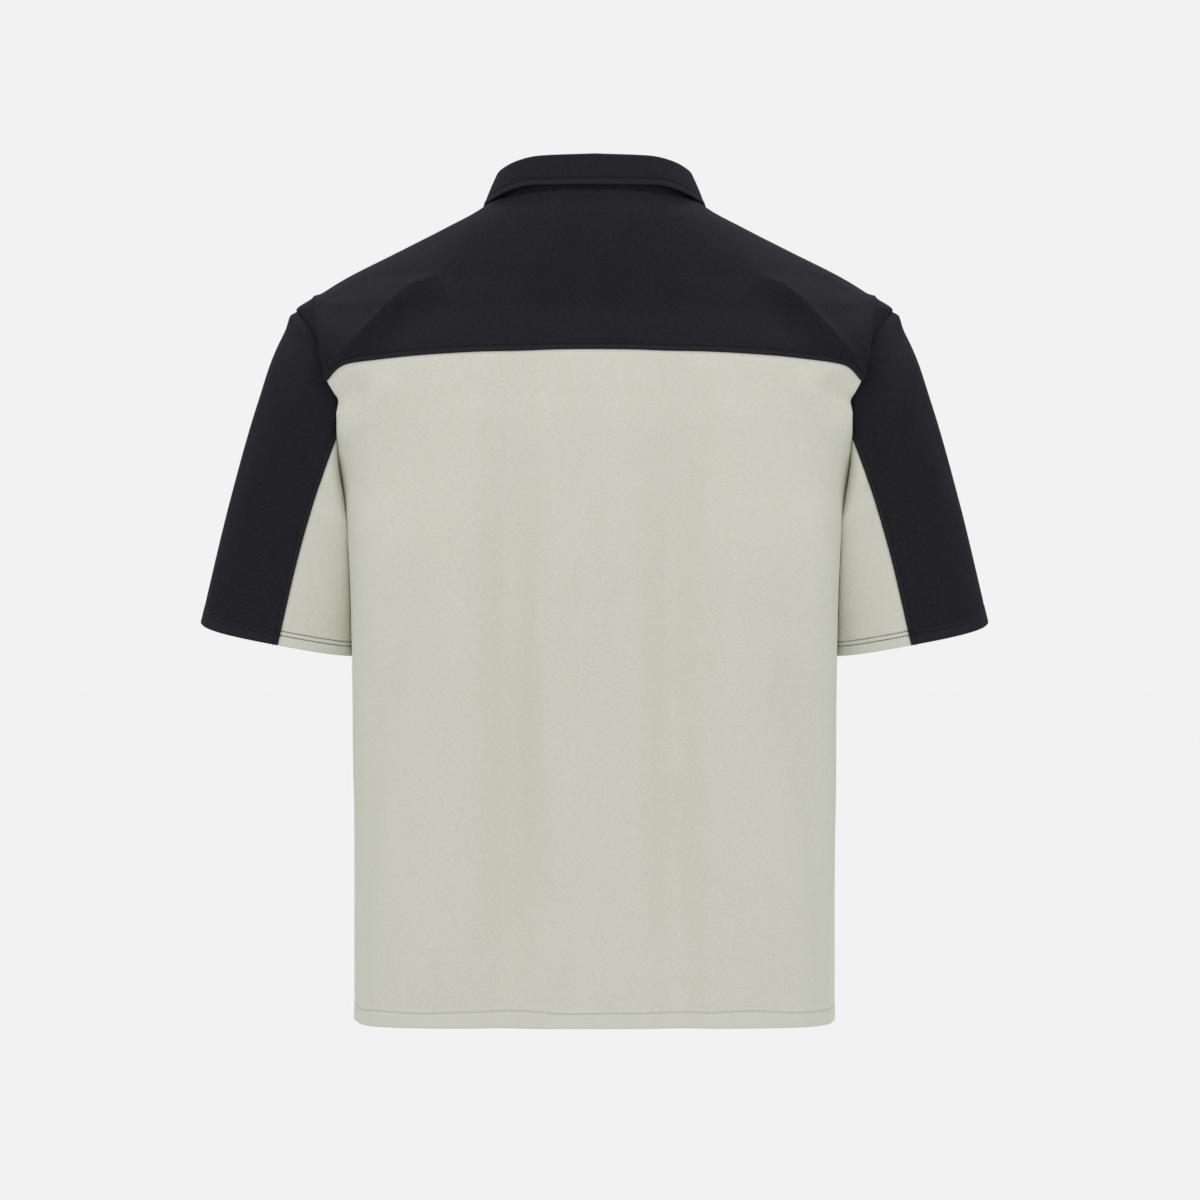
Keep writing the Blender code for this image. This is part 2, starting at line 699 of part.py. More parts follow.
def button_mesh(cutters):
    """A four-hole button with a raised rim, its flat back on z = 0."""
    rim = BUTTON_RADIUS
    profile = ((0.0, 0.0), (rim - 0.6, 0.0), (rim, 0.7), (rim, 1.9), (rim - 0.7, BUTTON_THICKNESS))
    profile += ((rim - 1.6, 1.9), (0.0, 1.7))
    turned = bmesh.new()
    verts = [turned.verts.new((r * METRES, 0, z * METRES)) for r, z in profile]
    edges = [turned.edges.new(pair) for pair in zip(verts, verts[1:])]
    bmesh.ops.spin(
        turned,
        geom=verts + edges,
        cent=(0, 0, 0),
        axis=(0, 0, 1),
        dvec=(0, 0, 0),
        angle=2 * math.pi,
        steps=20,
        use_merge=True,
    )
    bmesh.ops.remove_doubles(turned, verts=turned.verts, dist=1e-6)
    bmesh.ops.recalc_face_normals(turned, faces=turned.faces)
    blank = bpy.data.meshes.new("button_blank")
    turned.to_mesh(blank)
    turned.free()
    drill = bmesh.new()
    for x in (-0.5, 0.5):
        for y in (-0.5, 0.5):
            place = Matrix.Translation(Vector((x, y, 0)) * BUTTON_HOLE_PITCH * METRES)
            bmesh.ops.create_cone(
                drill,
                cap_ends=True,
                segments=8,
                radius1=BUTTON_HOLE_RADIUS * METRES,
                radius2=BUTTON_HOLE_RADIUS * METRES,
                depth=4 * BUTTON_THICKNESS * METRES,
                matrix=place,
            )
    drill_mesh = bpy.data.meshes.new("button_drill")
    drill.to_mesh(drill_mesh)
    drill.free()
    cutter = bpy.data.objects.new("button_drill", drill_mesh)
    cutter.hide_render = True
    cutter.display_type = "WIRE"
    cutters.objects.link(cutter)
    holder = bpy.data.objects.new("button_blank", blank)
    holder.hide_render = True
    cutters.objects.link(holder)
    cut = holder.modifiers.new("holes", "BOOLEAN")
    cut.operation = "DIFFERENCE"
    cut.object = cutter
    graph = bpy.context.evaluated_depsgraph_get()
    made = bpy.data.meshes.new_from_object(holder.evaluated_get(graph))
    bpy.data.objects.remove(holder, do_unlink=True)
    return made


def make_buttons(tree, finishes, collection, cutters):
    """Buttons down the placket, each turned to lie on the cloth."""
    mesh = button_mesh(cutters)
    mesh.materials.clear()
    mesh.materials.append(finishes["button"])
    mesh.shade_smooth()
    mesh.set_sharp_from_angle(angle=math.radians(40))
    lift = WALL + 2 * SEAM_GAP
    for number, level in enumerate(BUTTON_LEVELS, start=1):
        place, normal = front_point(tree, 0.0, level)
        button = bpy.data.objects.new(f"button_{number}", mesh)
        button.location = Vector((place + normal * lift) * METRES)
        button.rotation_euler = Vector(normal).to_track_quat("Z", "Y").to_euler()
        collection.objects.link(button)


def main():
    for obj in list(bpy.data.objects):
        bpy.data.objects.remove(obj, do_unlink=True)
    collection = bpy.data.collections.new("polo_shirt")
    bpy.context.scene.collection.children.link(collection)
    cutters = bpy.data.collections.new("cutters")
    bpy.context.scene.collection.children.link(cutters)
    finishes = {
        "black": material("black_jersey", BLACK, 0.9),
        "cream": material("cream_jersey", CREAM, 0.9),
        "button": material("button_plastic", BUTTON_BLACK, 0.35),
    }
    tree = dense_body()
    make_body(finishes, collection)
    make_sleeves(finishes, collection)
    make_stand(finishes, collection)
    make_leaf(tree, finishes, collection)
    make_placket(finishes, collection)
    make_buttons(tree, finishes, collection, cutters)


main()
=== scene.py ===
"""Looks of a boxy two-tone polo shirt, filled out as if worn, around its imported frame.

Every cut piece is a thin shell on its solid's form, with soft folds, turned hems, rolled seams,
stitches and a fine knit. The origin is at the middle of the neck, +Z is up, the wearer faces +Y
and the wearer's right is +X. Forms are worked out in millimetres and made in metres.
"""

import logging
import math
from dataclasses import dataclass, field
from enum import Enum

import bmesh
import bpy
import numpy as np
from mathutils import Matrix, Vector
from mathutils.bvhtree import BVHTree


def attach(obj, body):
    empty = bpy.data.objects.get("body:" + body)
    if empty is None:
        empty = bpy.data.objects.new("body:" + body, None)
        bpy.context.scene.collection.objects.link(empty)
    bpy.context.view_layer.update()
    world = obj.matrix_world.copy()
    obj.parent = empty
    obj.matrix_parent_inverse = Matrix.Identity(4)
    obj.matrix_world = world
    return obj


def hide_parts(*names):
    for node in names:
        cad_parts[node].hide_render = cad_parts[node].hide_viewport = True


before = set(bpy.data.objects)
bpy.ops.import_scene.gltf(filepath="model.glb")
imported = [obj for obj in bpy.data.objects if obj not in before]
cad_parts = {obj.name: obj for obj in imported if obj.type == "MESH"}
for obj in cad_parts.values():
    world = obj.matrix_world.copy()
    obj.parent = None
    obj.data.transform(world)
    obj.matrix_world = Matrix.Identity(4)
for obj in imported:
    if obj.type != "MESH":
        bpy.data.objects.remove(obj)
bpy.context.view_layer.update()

Array = np.ndarray
Run = tuple[Array, Array]  # points in a row, and the way the cloth faces at each
Finish = bpy.types.Material
Piece = bpy.types.Object
Socket = bpy.types.NodeSocket
Colour = tuple[float, float, float]

log = logging.getLogger("polo_shirt")

METRES = 0.001
UP = np.array([0.0, 0.0, 1.0])
RIGHT = np.array([1.0, 0.0, 0.0])
AHEAD = np.array([0.0, 1.0, 0.0])
BODY = "root"
PALE_SLOT = "pale_jersey"
DARK_SLOT = "dark_jersey"


class Side(Enum):
    """The two halves of the body, with the sign of the way each one faces along Y."""

    BACK = -1
    FRONT = 1


class Border(Enum):
    """The four borders of a grid of cloth."""

    LOW = "first row"
    HIGH = "last row"
    START = "first column"
    END = "last column"


# ---------------------------------------------------------------- sums

GRADE = 0.22  # how much wider the rows of a grid get for each millimetre from a close one
GRADE_STEPS = 6001
CHUNK = 3000  # how many points are measured against a line at once


def cubic(knots: Array, values: Array, slopes: Array, at: Array) -> Array:
    """Reads a cubic through rising knots.

    Args:
        knots: Rising places.
        values: The value or the array of values at each knot.
        slopes: How fast the values rise at each knot.
        at: Where to read them, within the knots.

    Returns:
        The values there.
    """
    i = np.clip(np.searchsorted(knots, at) - 1, 0, len(knots) - 2)
    shape = np.shape(at) + (1,) * (values.ndim - 1)
    run = (knots[i + 1] - knots[i]).reshape(shape)
    t = (at - knots[i]).reshape(shape) / run
    rise = values[i + 1] - values[i]
    third = (slopes[i] + slopes[i + 1]) * run - 2 * rise
    second = 3 * rise - (2 * slopes[i] + slopes[i + 1]) * run
    return values[i] + t * (slopes[i] * run + t * (second + t * third))


def smooth(knots: Array, values: Array, at: Array) -> Array:
    """Reads a monotone cubic through rising knots.

    Args:
        knots: Rising places.
        values: The value at each knot.
        at: Where to read it.

    Returns:
        The values there.
    """
    knots = np.asarray(knots, float)
    values = np.asarray(values, float)
    slope = np.diff(values) / np.diff(knots)
    tangent = np.zeros(len(knots))
    tangent[0] = slope[0]
    tangent[-1] = slope[-1]
    same_way = slope[:-1] * slope[1:] > 0
    harmonic = 2 * slope[:-1] * slope[1:] / np.where(same_way, slope[:-1] + slope[1:], 1)
    tangent[1:-1] = np.where(same_way, harmonic, 0)
    return cubic(knots, values, tangent, np.clip(at, knots[0], knots[-1]))


def unit(vectors: Array) -> Array:
    """Vectors at length one."""
    return vectors / np.maximum(np.linalg.norm(vectors, axis=-1, keepdims=True), 1e-9)


def far_side(share: Array, power: Array) -> Array:
    """The other coordinate on the border of a section whose half sizes are one."""
    return (1 - share**power) ** (1 / power)


def border_radius(cosine: Array, sine: Array, power: Array) -> Array:
    """How far the border of such a section is from its centre, in a direction."""
    return (abs(cosine) ** power + abs(sine) ** power) ** (-1 / power)


def pin(values: Array, place: float) -> None:
    """Moves the nearest of some values onto a place."""
    values[abs(values - place).argmin()] = place


def bar(middle: Array, way: Array, half: float, facing: Array) -> Run:
    """A short straight line through a point, and the way the cloth faces at its ends."""
    return np.array([middle - way * half, middle + way * half]), np.array([facing, facing])


def first_corners(rows: int, columns: int) -> Array:
    """The number of the first corner of each square of a grid."""
    return np.arange(rows - 1)[:, None] * columns + np.arange(columns - 1)


def squares(corners: Array, columns: int) -> Array:
    """The four corners of squares of a grid, from their first corners."""
    return np.stack([corners, corners + 1, corners + columns + 1, corners + columns], axis=1)


def graded(length: float, near: tuple[float, ...], fine: float, coarse: float) -> Array:
    """Places along a length, close together near chosen ones and wider apart between.

    Args:
        length: The whole length.
        near: Places that need a close spacing.
        fine: The closest spacing.
        coarse: The widest spacing.

    Returns:
        Rising places from 0 to the length.
    """
    line = np.linspace(0, length, GRADE_STEPS)
    away = np.min([abs(line - place) for place in near], axis=0)
    spacing = np.clip(fine + GRADE * np.maximum(away - 3 * fine, 0), fine, coarse)
    reached = np.concatenate([[0], np.cumsum(1 / spacing[:-1] * np.diff(line))])
    count = int(math.ceil(reached[-1]))
    return np.interp(np.linspace(0, reached[-1], count + 1), reached, line)


def wander(along: Array, length: float, seed: float) -> Array:
    """An uneven wave from about -1 to 1, with crests about a length apart."""
    turn = 2 * math.pi * along / length
    wave = np.sin(turn + seed) + 0.6 * np.sin(1.73 * turn + 2.1 * seed)
    return (wave + 0.4 * np.sin(2.9 * turn + 5 * seed)) / 1.7


def to_line(points: Array, line: Array) -> tuple[Array, Array, Array]:
    """Measures points against a polyline.

    Args:
        points: Points, in any array of 2-D or 3-D points.
        line: The polyline's points.

    Returns:
        The distance from it, how far along it the nearest place is, and for 2-D points on which
        hand of it they lie, all shaped as the points are.
    """
    start = line[:-1]
    run = np.diff(line, axis=0)
    length = np.linalg.norm(run, axis=1)
    reached = np.concatenate([[0], np.cumsum(length)])[:-1]
    flat = points.reshape(-1, line.shape[1])
    distance = np.zeros(len(flat))
    along = np.zeros(len(flat))
    hand = np.zeros(len(flat))
    for first in range(0, len(flat), CHUNK):
        these = slice(first, first + CHUNK)
        part = flat[these, None] - start
        share = np.clip((part * run).sum(-1) / np.maximum(length**2, 1e-9), 0, 1)
        away = np.linalg.norm(part - share[..., None] * run, axis=-1)
        best = away.argmin(axis=1)
        pick = np.arange(len(best)), best
        distance[these] = away[pick]
        along[these] = (reached + share * length)[pick]
        if line.shape[1] == 2:
            turn = run[best, 0] * part[pick][:, 1] - run[best, 1] * part[pick][:, 0]
            hand[these] = np.sign(turn)
    shape = points.shape[:-1]
    return distance.reshape(shape), along.reshape(shape), hand.reshape(shape)


def run_along(path: Array) -> Array:
    """How far along a path each of its points is."""
    return np.concatenate([[0], np.cumsum(np.linalg.norm(np.diff(path, axis=0), axis=1))])


def curve_through(path: Array, count: int) -> Array:
    """Points along a smooth curve through a path's points."""
    path = np.asarray(path, float)
    reached = run_along(path)
    at = np.linspace(0, reached[-1], count)
    return np.stack([smooth(reached, path[:, k], at) for k in range(path.shape[1])], axis=1)


def grid_normals(points: Array, like: Array) -> Array:
    """Normals of a grid of points, turned to the same side as others."""
    cross = np.cross(np.gradient(points, axis=1), np.gradient(points, axis=0))
    normals = unit(cross)
    return normals * np.sign((normals * like).sum(-1, keepdims=True))


# ---------------------------------------------------------------- folds


@dataclass(frozen=True)
class Crease:
    """A soft fold or hollow along a line on a piece of cloth.

    The path is in the piece's own two sizes: across and up on the body, round and along on a
    sleeve. width is how far it spreads, height is outwards and negative for a hollow, and steep
    narrows the hand of the path that is on its left when positive, and on its right otherwise.
    crisp is 2 for a round crest and less for a sharper one, and fade is below 1 where the ends
    die away late.
    """

    path: tuple[tuple[float, float], ...]
    width: float
    height: float
    steep: float = 0.0
    crisp: float = 2.0
    fade: float = 0.7

    def raised(self, places: Array) -> Array:
        """How far the crease lifts the cloth at places in its two sizes."""
        line = curve_through(self.path, 4 * len(self.path))
        distance, along, hand = to_line(places, line)
        length = np.linalg.norm(np.diff(line, axis=0), axis=1).sum()
        taper = np.sin(math.pi * np.clip(along / length, 0, 1)) ** self.fade
        spread = self.width * (1 - self.steep * hand)
        return self.height * taper * np.exp(-((distance / spread) ** self.crisp))


def raised_by(creases: tuple[Crease, ...], places: Array) -> Array:
    """How far several creases together lift the cloth."""
    total = np.zeros(places.shape[:-1])
    for crease in creases:
        total += crease.raised(places)
    return total


BACK_CREASES = (
    Crease(((-60, -108), (-72, -200), (-73, -420), (-70, -560), (-79, -690), (-84, -860)), 22, -13.0),
    Crease(((60, -108), (68, -200), (67, -420), (69, -560), (74, -700), (76, -860)), 22, -12.0),
    Crease(((-40, -170), (-41, -400), (-31, -560), (-36, -690)), 17, 3.6),
    Crease(((30, -170), (33, -400), (35, -560), (30, -690)), 18, 3.2),
    Crease(((-112, -170), (-126, -330), (-121, -520), (-130, -700)), 26, 5.5),
    Crease(((118, -165), (127, -330), (124, -520), (131, -700)), 27, 5.2),
    Crease(((-150, -190), (-160, -330), (-158, -450)), 14, -1.5),
    Crease(((150, -190), (167, -330), (163, -450)), 15, -1.6),
    Crease(((-166, -340), (-177, -434), (-188, -487), (-200, -550), (-207, -660), (-209, -800)), 13, -6.5),
    Crease(((160, -330), (171, -434), (181, -487), (192, -540), (203, -650), (206, -800)), 13, -6.5),
    Crease(((-214, -210), (-197, -183), (-171, -152)), 10, 2.6),
    Crease(((215, -207), (198, -181), (174, -152)), 10, 2.6),
    Crease(((-208, -150), (-205, -170), (-207, -196)), 8, -2.8),
    Crease(((207, -150), (205, -172), (208, -196)), 8, -2.8),
    Crease(
        ((-128, -62), (-153, -73), (-174, -90), (-195, -113), (-208, -127), (-229, -149), (-243, -166)),
        width=13,
        height=9.0,
        steep=0.3,
        crisp=1.2,
    ),
    Crease(
        ((-134, -66), (-153, -73), (-174, -90), (-195, -113), (-208, -127), (-229, -149), (-245, -168)),
        width=5,
        height=2.6,
        steep=-0.3,
        crisp=1.3,
    ),
    Crease(
        ((132, -61), (157, -73), (178, -89), (198, -112), (210, -126), (231, -149), (245, -166)),
        width=13,
        height=9.0,
        steep=-0.3,
        crisp=1.2,
    ),
    Crease(
        ((136, -65), (157, -73), (178, -89), (198, -112), (210, -126), (231, -149), (247, -168)),
        width=5,
        height=2.6,
        steep=0.3,
        crisp=1.3,
    ),
    Crease(((-128, -84), (-160, -98), (-185, -121), (-203, -143)), 17, -6.0),
    Crease(((131, -82), (163, -97), (187, -121), (206, -144)), 17, -6.0),
    Crease(((-245, -78), (-241.5, -90), (-236, -104), (-230, -121), (-225, -136)), 9, 9.0, -0.5, 1.3),
    Crease(((245, -78), (241.5, -90), (236, -104), (230, -121), (225, -136)), 9, 9.0, 0.5, 1.3),
    Crease(((-190, -59), (-216, -72), (-227, -79), (-240, -86)), 4, 1.6, 0.0, 1.5),
    Crease(((188, -58), (217, -72), (228, -79), (241, -86)), 4, 1.6, 0.0, 1.5),
    Crease(((-60, -60), (-64, -100), (-62, -132)), 22, -1.0),
    Crease(((57, -64), (62, -100), (60, -132)), 20, -0.9),
)
FRONT_CREASES = (
    Crease(((-150, -95), (-186, -125), (-212, -152), (-224, -180)), 13, 4.0, -0.3),
    Crease(((146, -92), (184, -124), (210, -150), (223, -176)), 13, 4.2, 0.3),
    Crease(((-120, -118), (-165, -150), (-196, -180)), 20, -3.6),
    Crease(((124, -120), (166, -148), (195, -182)), 20, -3.4),
    Crease(((-118, -190), (-126, -330), (-119, -500), (-110, -690)), 26, -4.0),
    Crease(((129, -190), (124, -330), (132, -500), (127, -690)), 27, -4.0),
    Crease(((-62, -260), (-68, -400), (-60, -560), (-66, -700)), 23, 2.6),
    Crease(((68, -250), (75, -400), (70, -560), (77, -690)), 24, 2.6),
    Crease(((-6, -300), (4, -440), (-3, -600), (2, -700)), 22, -1.8),
    Crease(((-168, -330), (-180, -450), (-192, -550), (-203, -650)), 12, -2.4),
    Crease(((162, -340), (176, -440), (188, -540), (201, -640)), 12, -2.6),
    Crease(((-216, -220), (-190, -190), (-160, -165)), 11, 2.2),
    Crease(((215, -226), (188, -192), (158, -168)), 11, 2.2),
    Crease(((-203, -268), (-176, -236), (-150, -214)), 12, -1.6),
    Crease(((202, -264), (178, -238), (149, -212)), 12, -1.6),
)
LEFT_SLEEVE_CREASES = (
    Crease(((-52, 9), (-26, 7), (0, 6), (26, 7), (52, 9)), 9, 2.6),
    Crease(((-46, 12), (-38, 90), (-30, 190)), 11, 1.8),
    Crease(((-92, 20), (-84, 110), (-72, 230)), 13, -2.0),
    Crease(((58, 18), (44, 110), (40, 210)), 14, -2.0),
    Crease(((96, 26), (80, 100), (72, 200)), 12, 1.8),
    Crease(((-172, 30), (-150, 70), (-128, 120)), 11, 2.2),
    Crease(((168, 34), (150, 76), (126, 130)), 11, 2.2),
)
RIGHT_SLEEVE_CREASES = (
    Crease(((-50, 9), (-26, 7), (0, 6), (26, 7), (50, 9)), 9, 2.6),
    Crease(((-44, 10), (-39, 96), (-34, 180)), 11, 1.8),
    Crease(((-90, 16), (-86, 104), (-70, 240)), 13, -2.0),
    Crease(((54, 22), (47, 100), (36, 196)), 14, -2.0),
    Crease(((100, 24), (84, 108), (78, 214)), 12, 1.8),
    Crease(((-170, 32), (-152, 66), (-124, 124)), 11, 2.2),
    Crease(((171, 30), (148, 72), (128, 122)), 11, 2.2),
)


# ---------------------------------------------------------------- the body's form


@dataclass(frozen=True)
class Ring:
    """A section of the body; level is its height at the side seam or the shoulder line.

    power is 2 for an ellipse and 4 for a well-rounded box. The rises say how much higher the
    ring runs at centre back and centre front.
    """

    level: float
    half_width: float
    back: float
    front: float
    power: float
    back_rise: float = 0.0
    front_rise: float = 0.0


RINGS = (
    Ring(-715.0, 211.6, 111.0, 111.0, 4.0),
    Ring(-600.0, 211.6, 111.5, 111.5, 4.0),
    Ring(-450.0, 211.6, 113.0, 113.0, 4.3),
    Ring(-358.0, 212.6, 115.0, 116.0, 5.2),
    Ring(-318.0, 214.0, 116.0, 117.5, 5.4),
    Ring(-279.0, 217.3, 116.5, 118.5, 4.8),
    Ring(-250.0, 221.0, 116.5, 118.5, 4.0),
    Ring(-198.0, 234.0, 116.0, 117.0, 3.3),
    Ring(-169.0, 241.0, 114.0, 114.5, 3.2),
    Ring(-130.0, 250.0, 109.0, 108.5, 3.2),
    Ring(-92.4, 262.8, 98.0, 99.0, 2.3),
    Ring(-78.3, 242.5, 96.0, 97.5, 2.1, 0.5, -9.7),
    Ring(-64.2, 220.0, 94.0, 96.0, 1.9, 2.0, -20.5),
    Ring(-42.0, 175.5, 90.0, 93.5, 1.9, 4.5, -38.5),
    Ring(-19.4, 129.5, 83.5, 90.5, 2.0, 8.0, -57.5),
    Ring(-8.8, 107.5, 77.0, 88.5, 2.1, 10.0, -66.5),
    Ring(-0.5, 94.0, 74.0, 86.0, 2.2, 11.2, -73.5),
)


@dataclass(frozen=True)
class Overhang:
    """How the body's cloth bellies over the armhole seam, at an angle from the shoulder tip."""

    angle: float
    belly: float
    crest: float  # how far from the seam the belly is fullest
    sag: float = 0.0  # how far its own weight pulls it down


BACK_OVERHANG = (
    Overhang(0.0, 0.0, 10.0, 0.0),
    Overhang(30.0, 0.5, 10.0, 0.0),
    Overhang(42.0, 0.6, 9.0, 0.5),
    Overhang(50.0, 1.0, 9.0, 2.0),
    Overhang(57.0, 3.0, 8.0, 3.5),
    Overhang(64.0, 5.8, 8.0, 5.5),
    Overhang(74.0, 7.4, 8.0, 8.5),
    Overhang(80.0, 6.7, 8.0, 8.5),
    Overhang(88.0, 3.7, 7.0, 5.5),
    Overhang(96.0, 8.0, 7.0, 3.5),
    Overhang(110.0, 6.2, 7.0, 1.5),
    Overhang(120.0, 3.6, 8.0, 0.5),
    Overhang(131.0, 1.0, 8.0, 0.0),
    Overhang(146.0, 0.0, 8.0, 0.0),
)
FRONT_OVERHANG = (
    Overhang(0.0, 0.0, 12.0),
    Overhang(24.0, 1.5, 13.0),
    Overhang(46.0, 4.5, 12.0),
    Overhang(70.0, 7.5, 11.0),
    Overhang(95.0, 6.0, 9.0),
    Overhang(115.0, 2.0, 8.0),
    Overhang(130.0, 0.0, 8.0),
)


@dataclass
class BodyForm:
    """The filled-out body as a surface, read by a share of its girth and a level."""

    armpit_level: float = -250.0
    tip_level: float = -92.4
    armhole_depth: float = 72.0
    cap_turn: float = 0.92  # below 1 the armhole leaves the shoulder tip more squarely
    yoke_angle: float = 75.0
    side_fade: float = 0.12  # folds die away this near the side and shoulder lines
    seam_hold: float = 8.0  # and this near the armhole
    belly_spread: float = 17.0
    sag_spread: float = 8.0
    belly_out: float = 0.75  # how much of a belly goes the way the body faces
    belly_aside: float = 0.35  # and how much to the side
    belly_down: float = 0.4
    end_share: float = 0.985  # past this the body faces straight to its side
    typical_half_width: float = 215.0  # of the section on which shares of the girth are measured
    typical_half_depth: float = 115.0
    typical_power: float = 3.5
    back_yoke: float = -130.0
    front_yoke: float = -150.0
    neck_level: float = RINGS[-1].level
    placket_half: float = 16.0
    placket_end: float = -233.3
    angles: Array = field(init=False)
    shares: Array = field(init=False)
    armholes: dict[Side, Array] = field(init=False)

    def __post_init__(self) -> None:
        """Lays out the shares of a typical half section, and the two armhole lines."""
        self.angles = np.linspace(0, math.pi, 721)
        cosine, sine = np.cos(self.angles), np.sin(self.angles)
        radius = border_radius(cosine, sine, self.typical_power)
        x = self.typical_half_width * radius * cosine
        y = self.typical_half_depth * radius * sine
        length = np.concatenate([[0], np.cumsum(np.hypot(np.diff(x), np.diff(y)))])
        self.shares = 1 - 2 * length / length[-1]
        turns = np.linspace(0, 180, 91)
        level = self.armhole_level(turns)
        share = np.array([self.armhole_share(z, a) for z, a in zip(level, turns)])
        self.armholes = {side: self.base(side, share, level) for side in Side}

    def value(self, name: str, level: Array) -> Array:
        """One column of the ring table at any level."""
        return smooth([r.level for r in RINGS], [getattr(r, name) for r in RINGS], level)

    def base(self, side: Side, share: Array, level: Array) -> Array:
        """A point of the body before its folds; share runs from -1 at the left to 1."""
        share = np.asarray(share, float)
        level = np.asarray(level, float)
        angle = np.interp(-share, -self.shares, self.angles)
        cosine, sine = np.cos(angle), np.sin(angle)
        radius = border_radius(cosine, sine, self.value("power", level))
        name = side.name.lower()
        x = self.value("half_width", level) * radius * cosine
        y = side.value * self.value(name, level) * radius * sine
        z = level + self.value(f"{name}_rise", level) * sine
        return np.stack(np.broadcast_arrays(x, y, z), axis=-1)

    def base_normal(self, side: Side, share: Array, level: Array) -> Array:
        """The way the body faces at a point, from small steps along it."""
        share = np.asarray(share, float)
        high = self.base(side, np.clip(share + 0.01, -1, 1), level)
        low = self.base(side, np.clip(share - 0.01, -1, 1), level)
        across = high - low
        at_end = abs(share) > self.end_share
        across[at_end] = -side.value * np.sign(share[at_end])[:, None] * AHEAD
        up = self.base(side, share, level + 1.0) - self.base(side, share, level - 1.0)
        return unit(np.cross(across, up) * -side.value)

    def armhole_level(self, angle: Array) -> Array:
        """The armhole's height at an angle from the shoulder tip."""
        middle = (self.tip_level + self.armpit_level) / 2
        half = (self.tip_level - self.armpit_level) / 2
        return middle + half * np.cos(np.radians(angle))

    def armhole_share(self, level: float, angle: float) -> float:
        """Where the right armhole lies on a section of the body."""
        turn = self.cap_turn if angle < 90 else 1.0
        depth = self.armhole_depth * max(math.sin(math.radians(angle)), 0.0) ** turn
        y = depth / self.value("back", level)
        x = far_side(y, self.value("power", level))
        return float(np.interp(math.atan2(y, x), self.angles, self.shares))

    def share_at_x(self, level: Array, x: float) -> Array:
        """The share of a section at which it has gone a distance from the centre."""
        across = x / self.value("half_width", level)
        out = far_side(across, self.value("power", level))
        return np.interp(np.arctan2(out, across), self.angles, self.shares)

    def from_armhole(self, side: Side, base: Array) -> tuple[Array, Array]:
        """How far points are from the armhole's line, and at what angle from the shoulder tip."""
        mirrored = base * np.where(base[..., :1] < 0, [[-1.0, 1.0, 1.0]], 1.0)
        line = self.armholes[side]
        distance, along, _ = to_line(mirrored, line)
        return distance, np.interp(along, run_along(line), np.linspace(0, 180, len(line)))

    def overhang(
        self, side: Side, base: Array, normals: Array, distance: Array, angle: Array
    ) -> Array:
        """How far the cloth beside the armhole bellies over its seam.

        Args:
            side: Which half of the body.
            base: Points of the body before its folds.
            normals: The way the body faces there.
            distance: How far they are from the armhole.
            angle: The angle from the shoulder tip of the nearest place on it.

        Returns:
            The shift of each point.
        """
        table = BACK_OVERHANG if side is Side.BACK else FRONT_OVERHANG
        knots = [row.angle for row in table]
        belly = smooth(knots, [row.belly for row in table], angle)
        crest = smooth(knots, [row.crest for row in table], angle)
        sag = smooth(knots, [row.sag for row in table], angle)
        rise = np.sin(math.pi / 2 * np.clip(distance / crest, 0, 1))
        past = np.maximum(distance - crest, 0)
        fall = np.exp(-((past / self.belly_spread) ** 2))
        drop = np.exp(-((past / self.sag_spread) ** 2))
        outwards = np.sign(base[..., :1]) * RIGHT - self.belly_down * UP
        way = unit(self.belly_out * normals + self.belly_aside * outwards)
        return way * (belly * rise * fall)[..., None] - UP * (sag * rise * drop)[..., None]

    def point(self, side: Side, share: Array, level: Array) -> Array:
        """A point of the body's cloth, folds and all; its folds end at the armhole seam."""
        share = np.asarray(share, float)
        base = self.base(side, share, level)
        normals = self.base_normal(side, share, level)
        distance, angle = self.from_armhole(side, base)
        creases = BACK_CREASES if side is Side.BACK else FRONT_CREASES
        fade = np.clip((1 - abs(share)) / self.side_fade, 0, 1)
        fade = fade * np.clip(distance / self.seam_hold, 0, 1) ** 0.8
        height = raised_by(creases, base[..., [0, 2]]) * fade
        shift = self.overhang(side, base, normals, distance, angle)
        return base + normals * height[..., None] + shift

    def yoke_centre(self, side: Side) -> float:
        """The height of the yoke seam at the centre of a side."""
        return self.back_yoke if side is Side.BACK else self.front_yoke


# ---------------------------------------------------------------- cloth


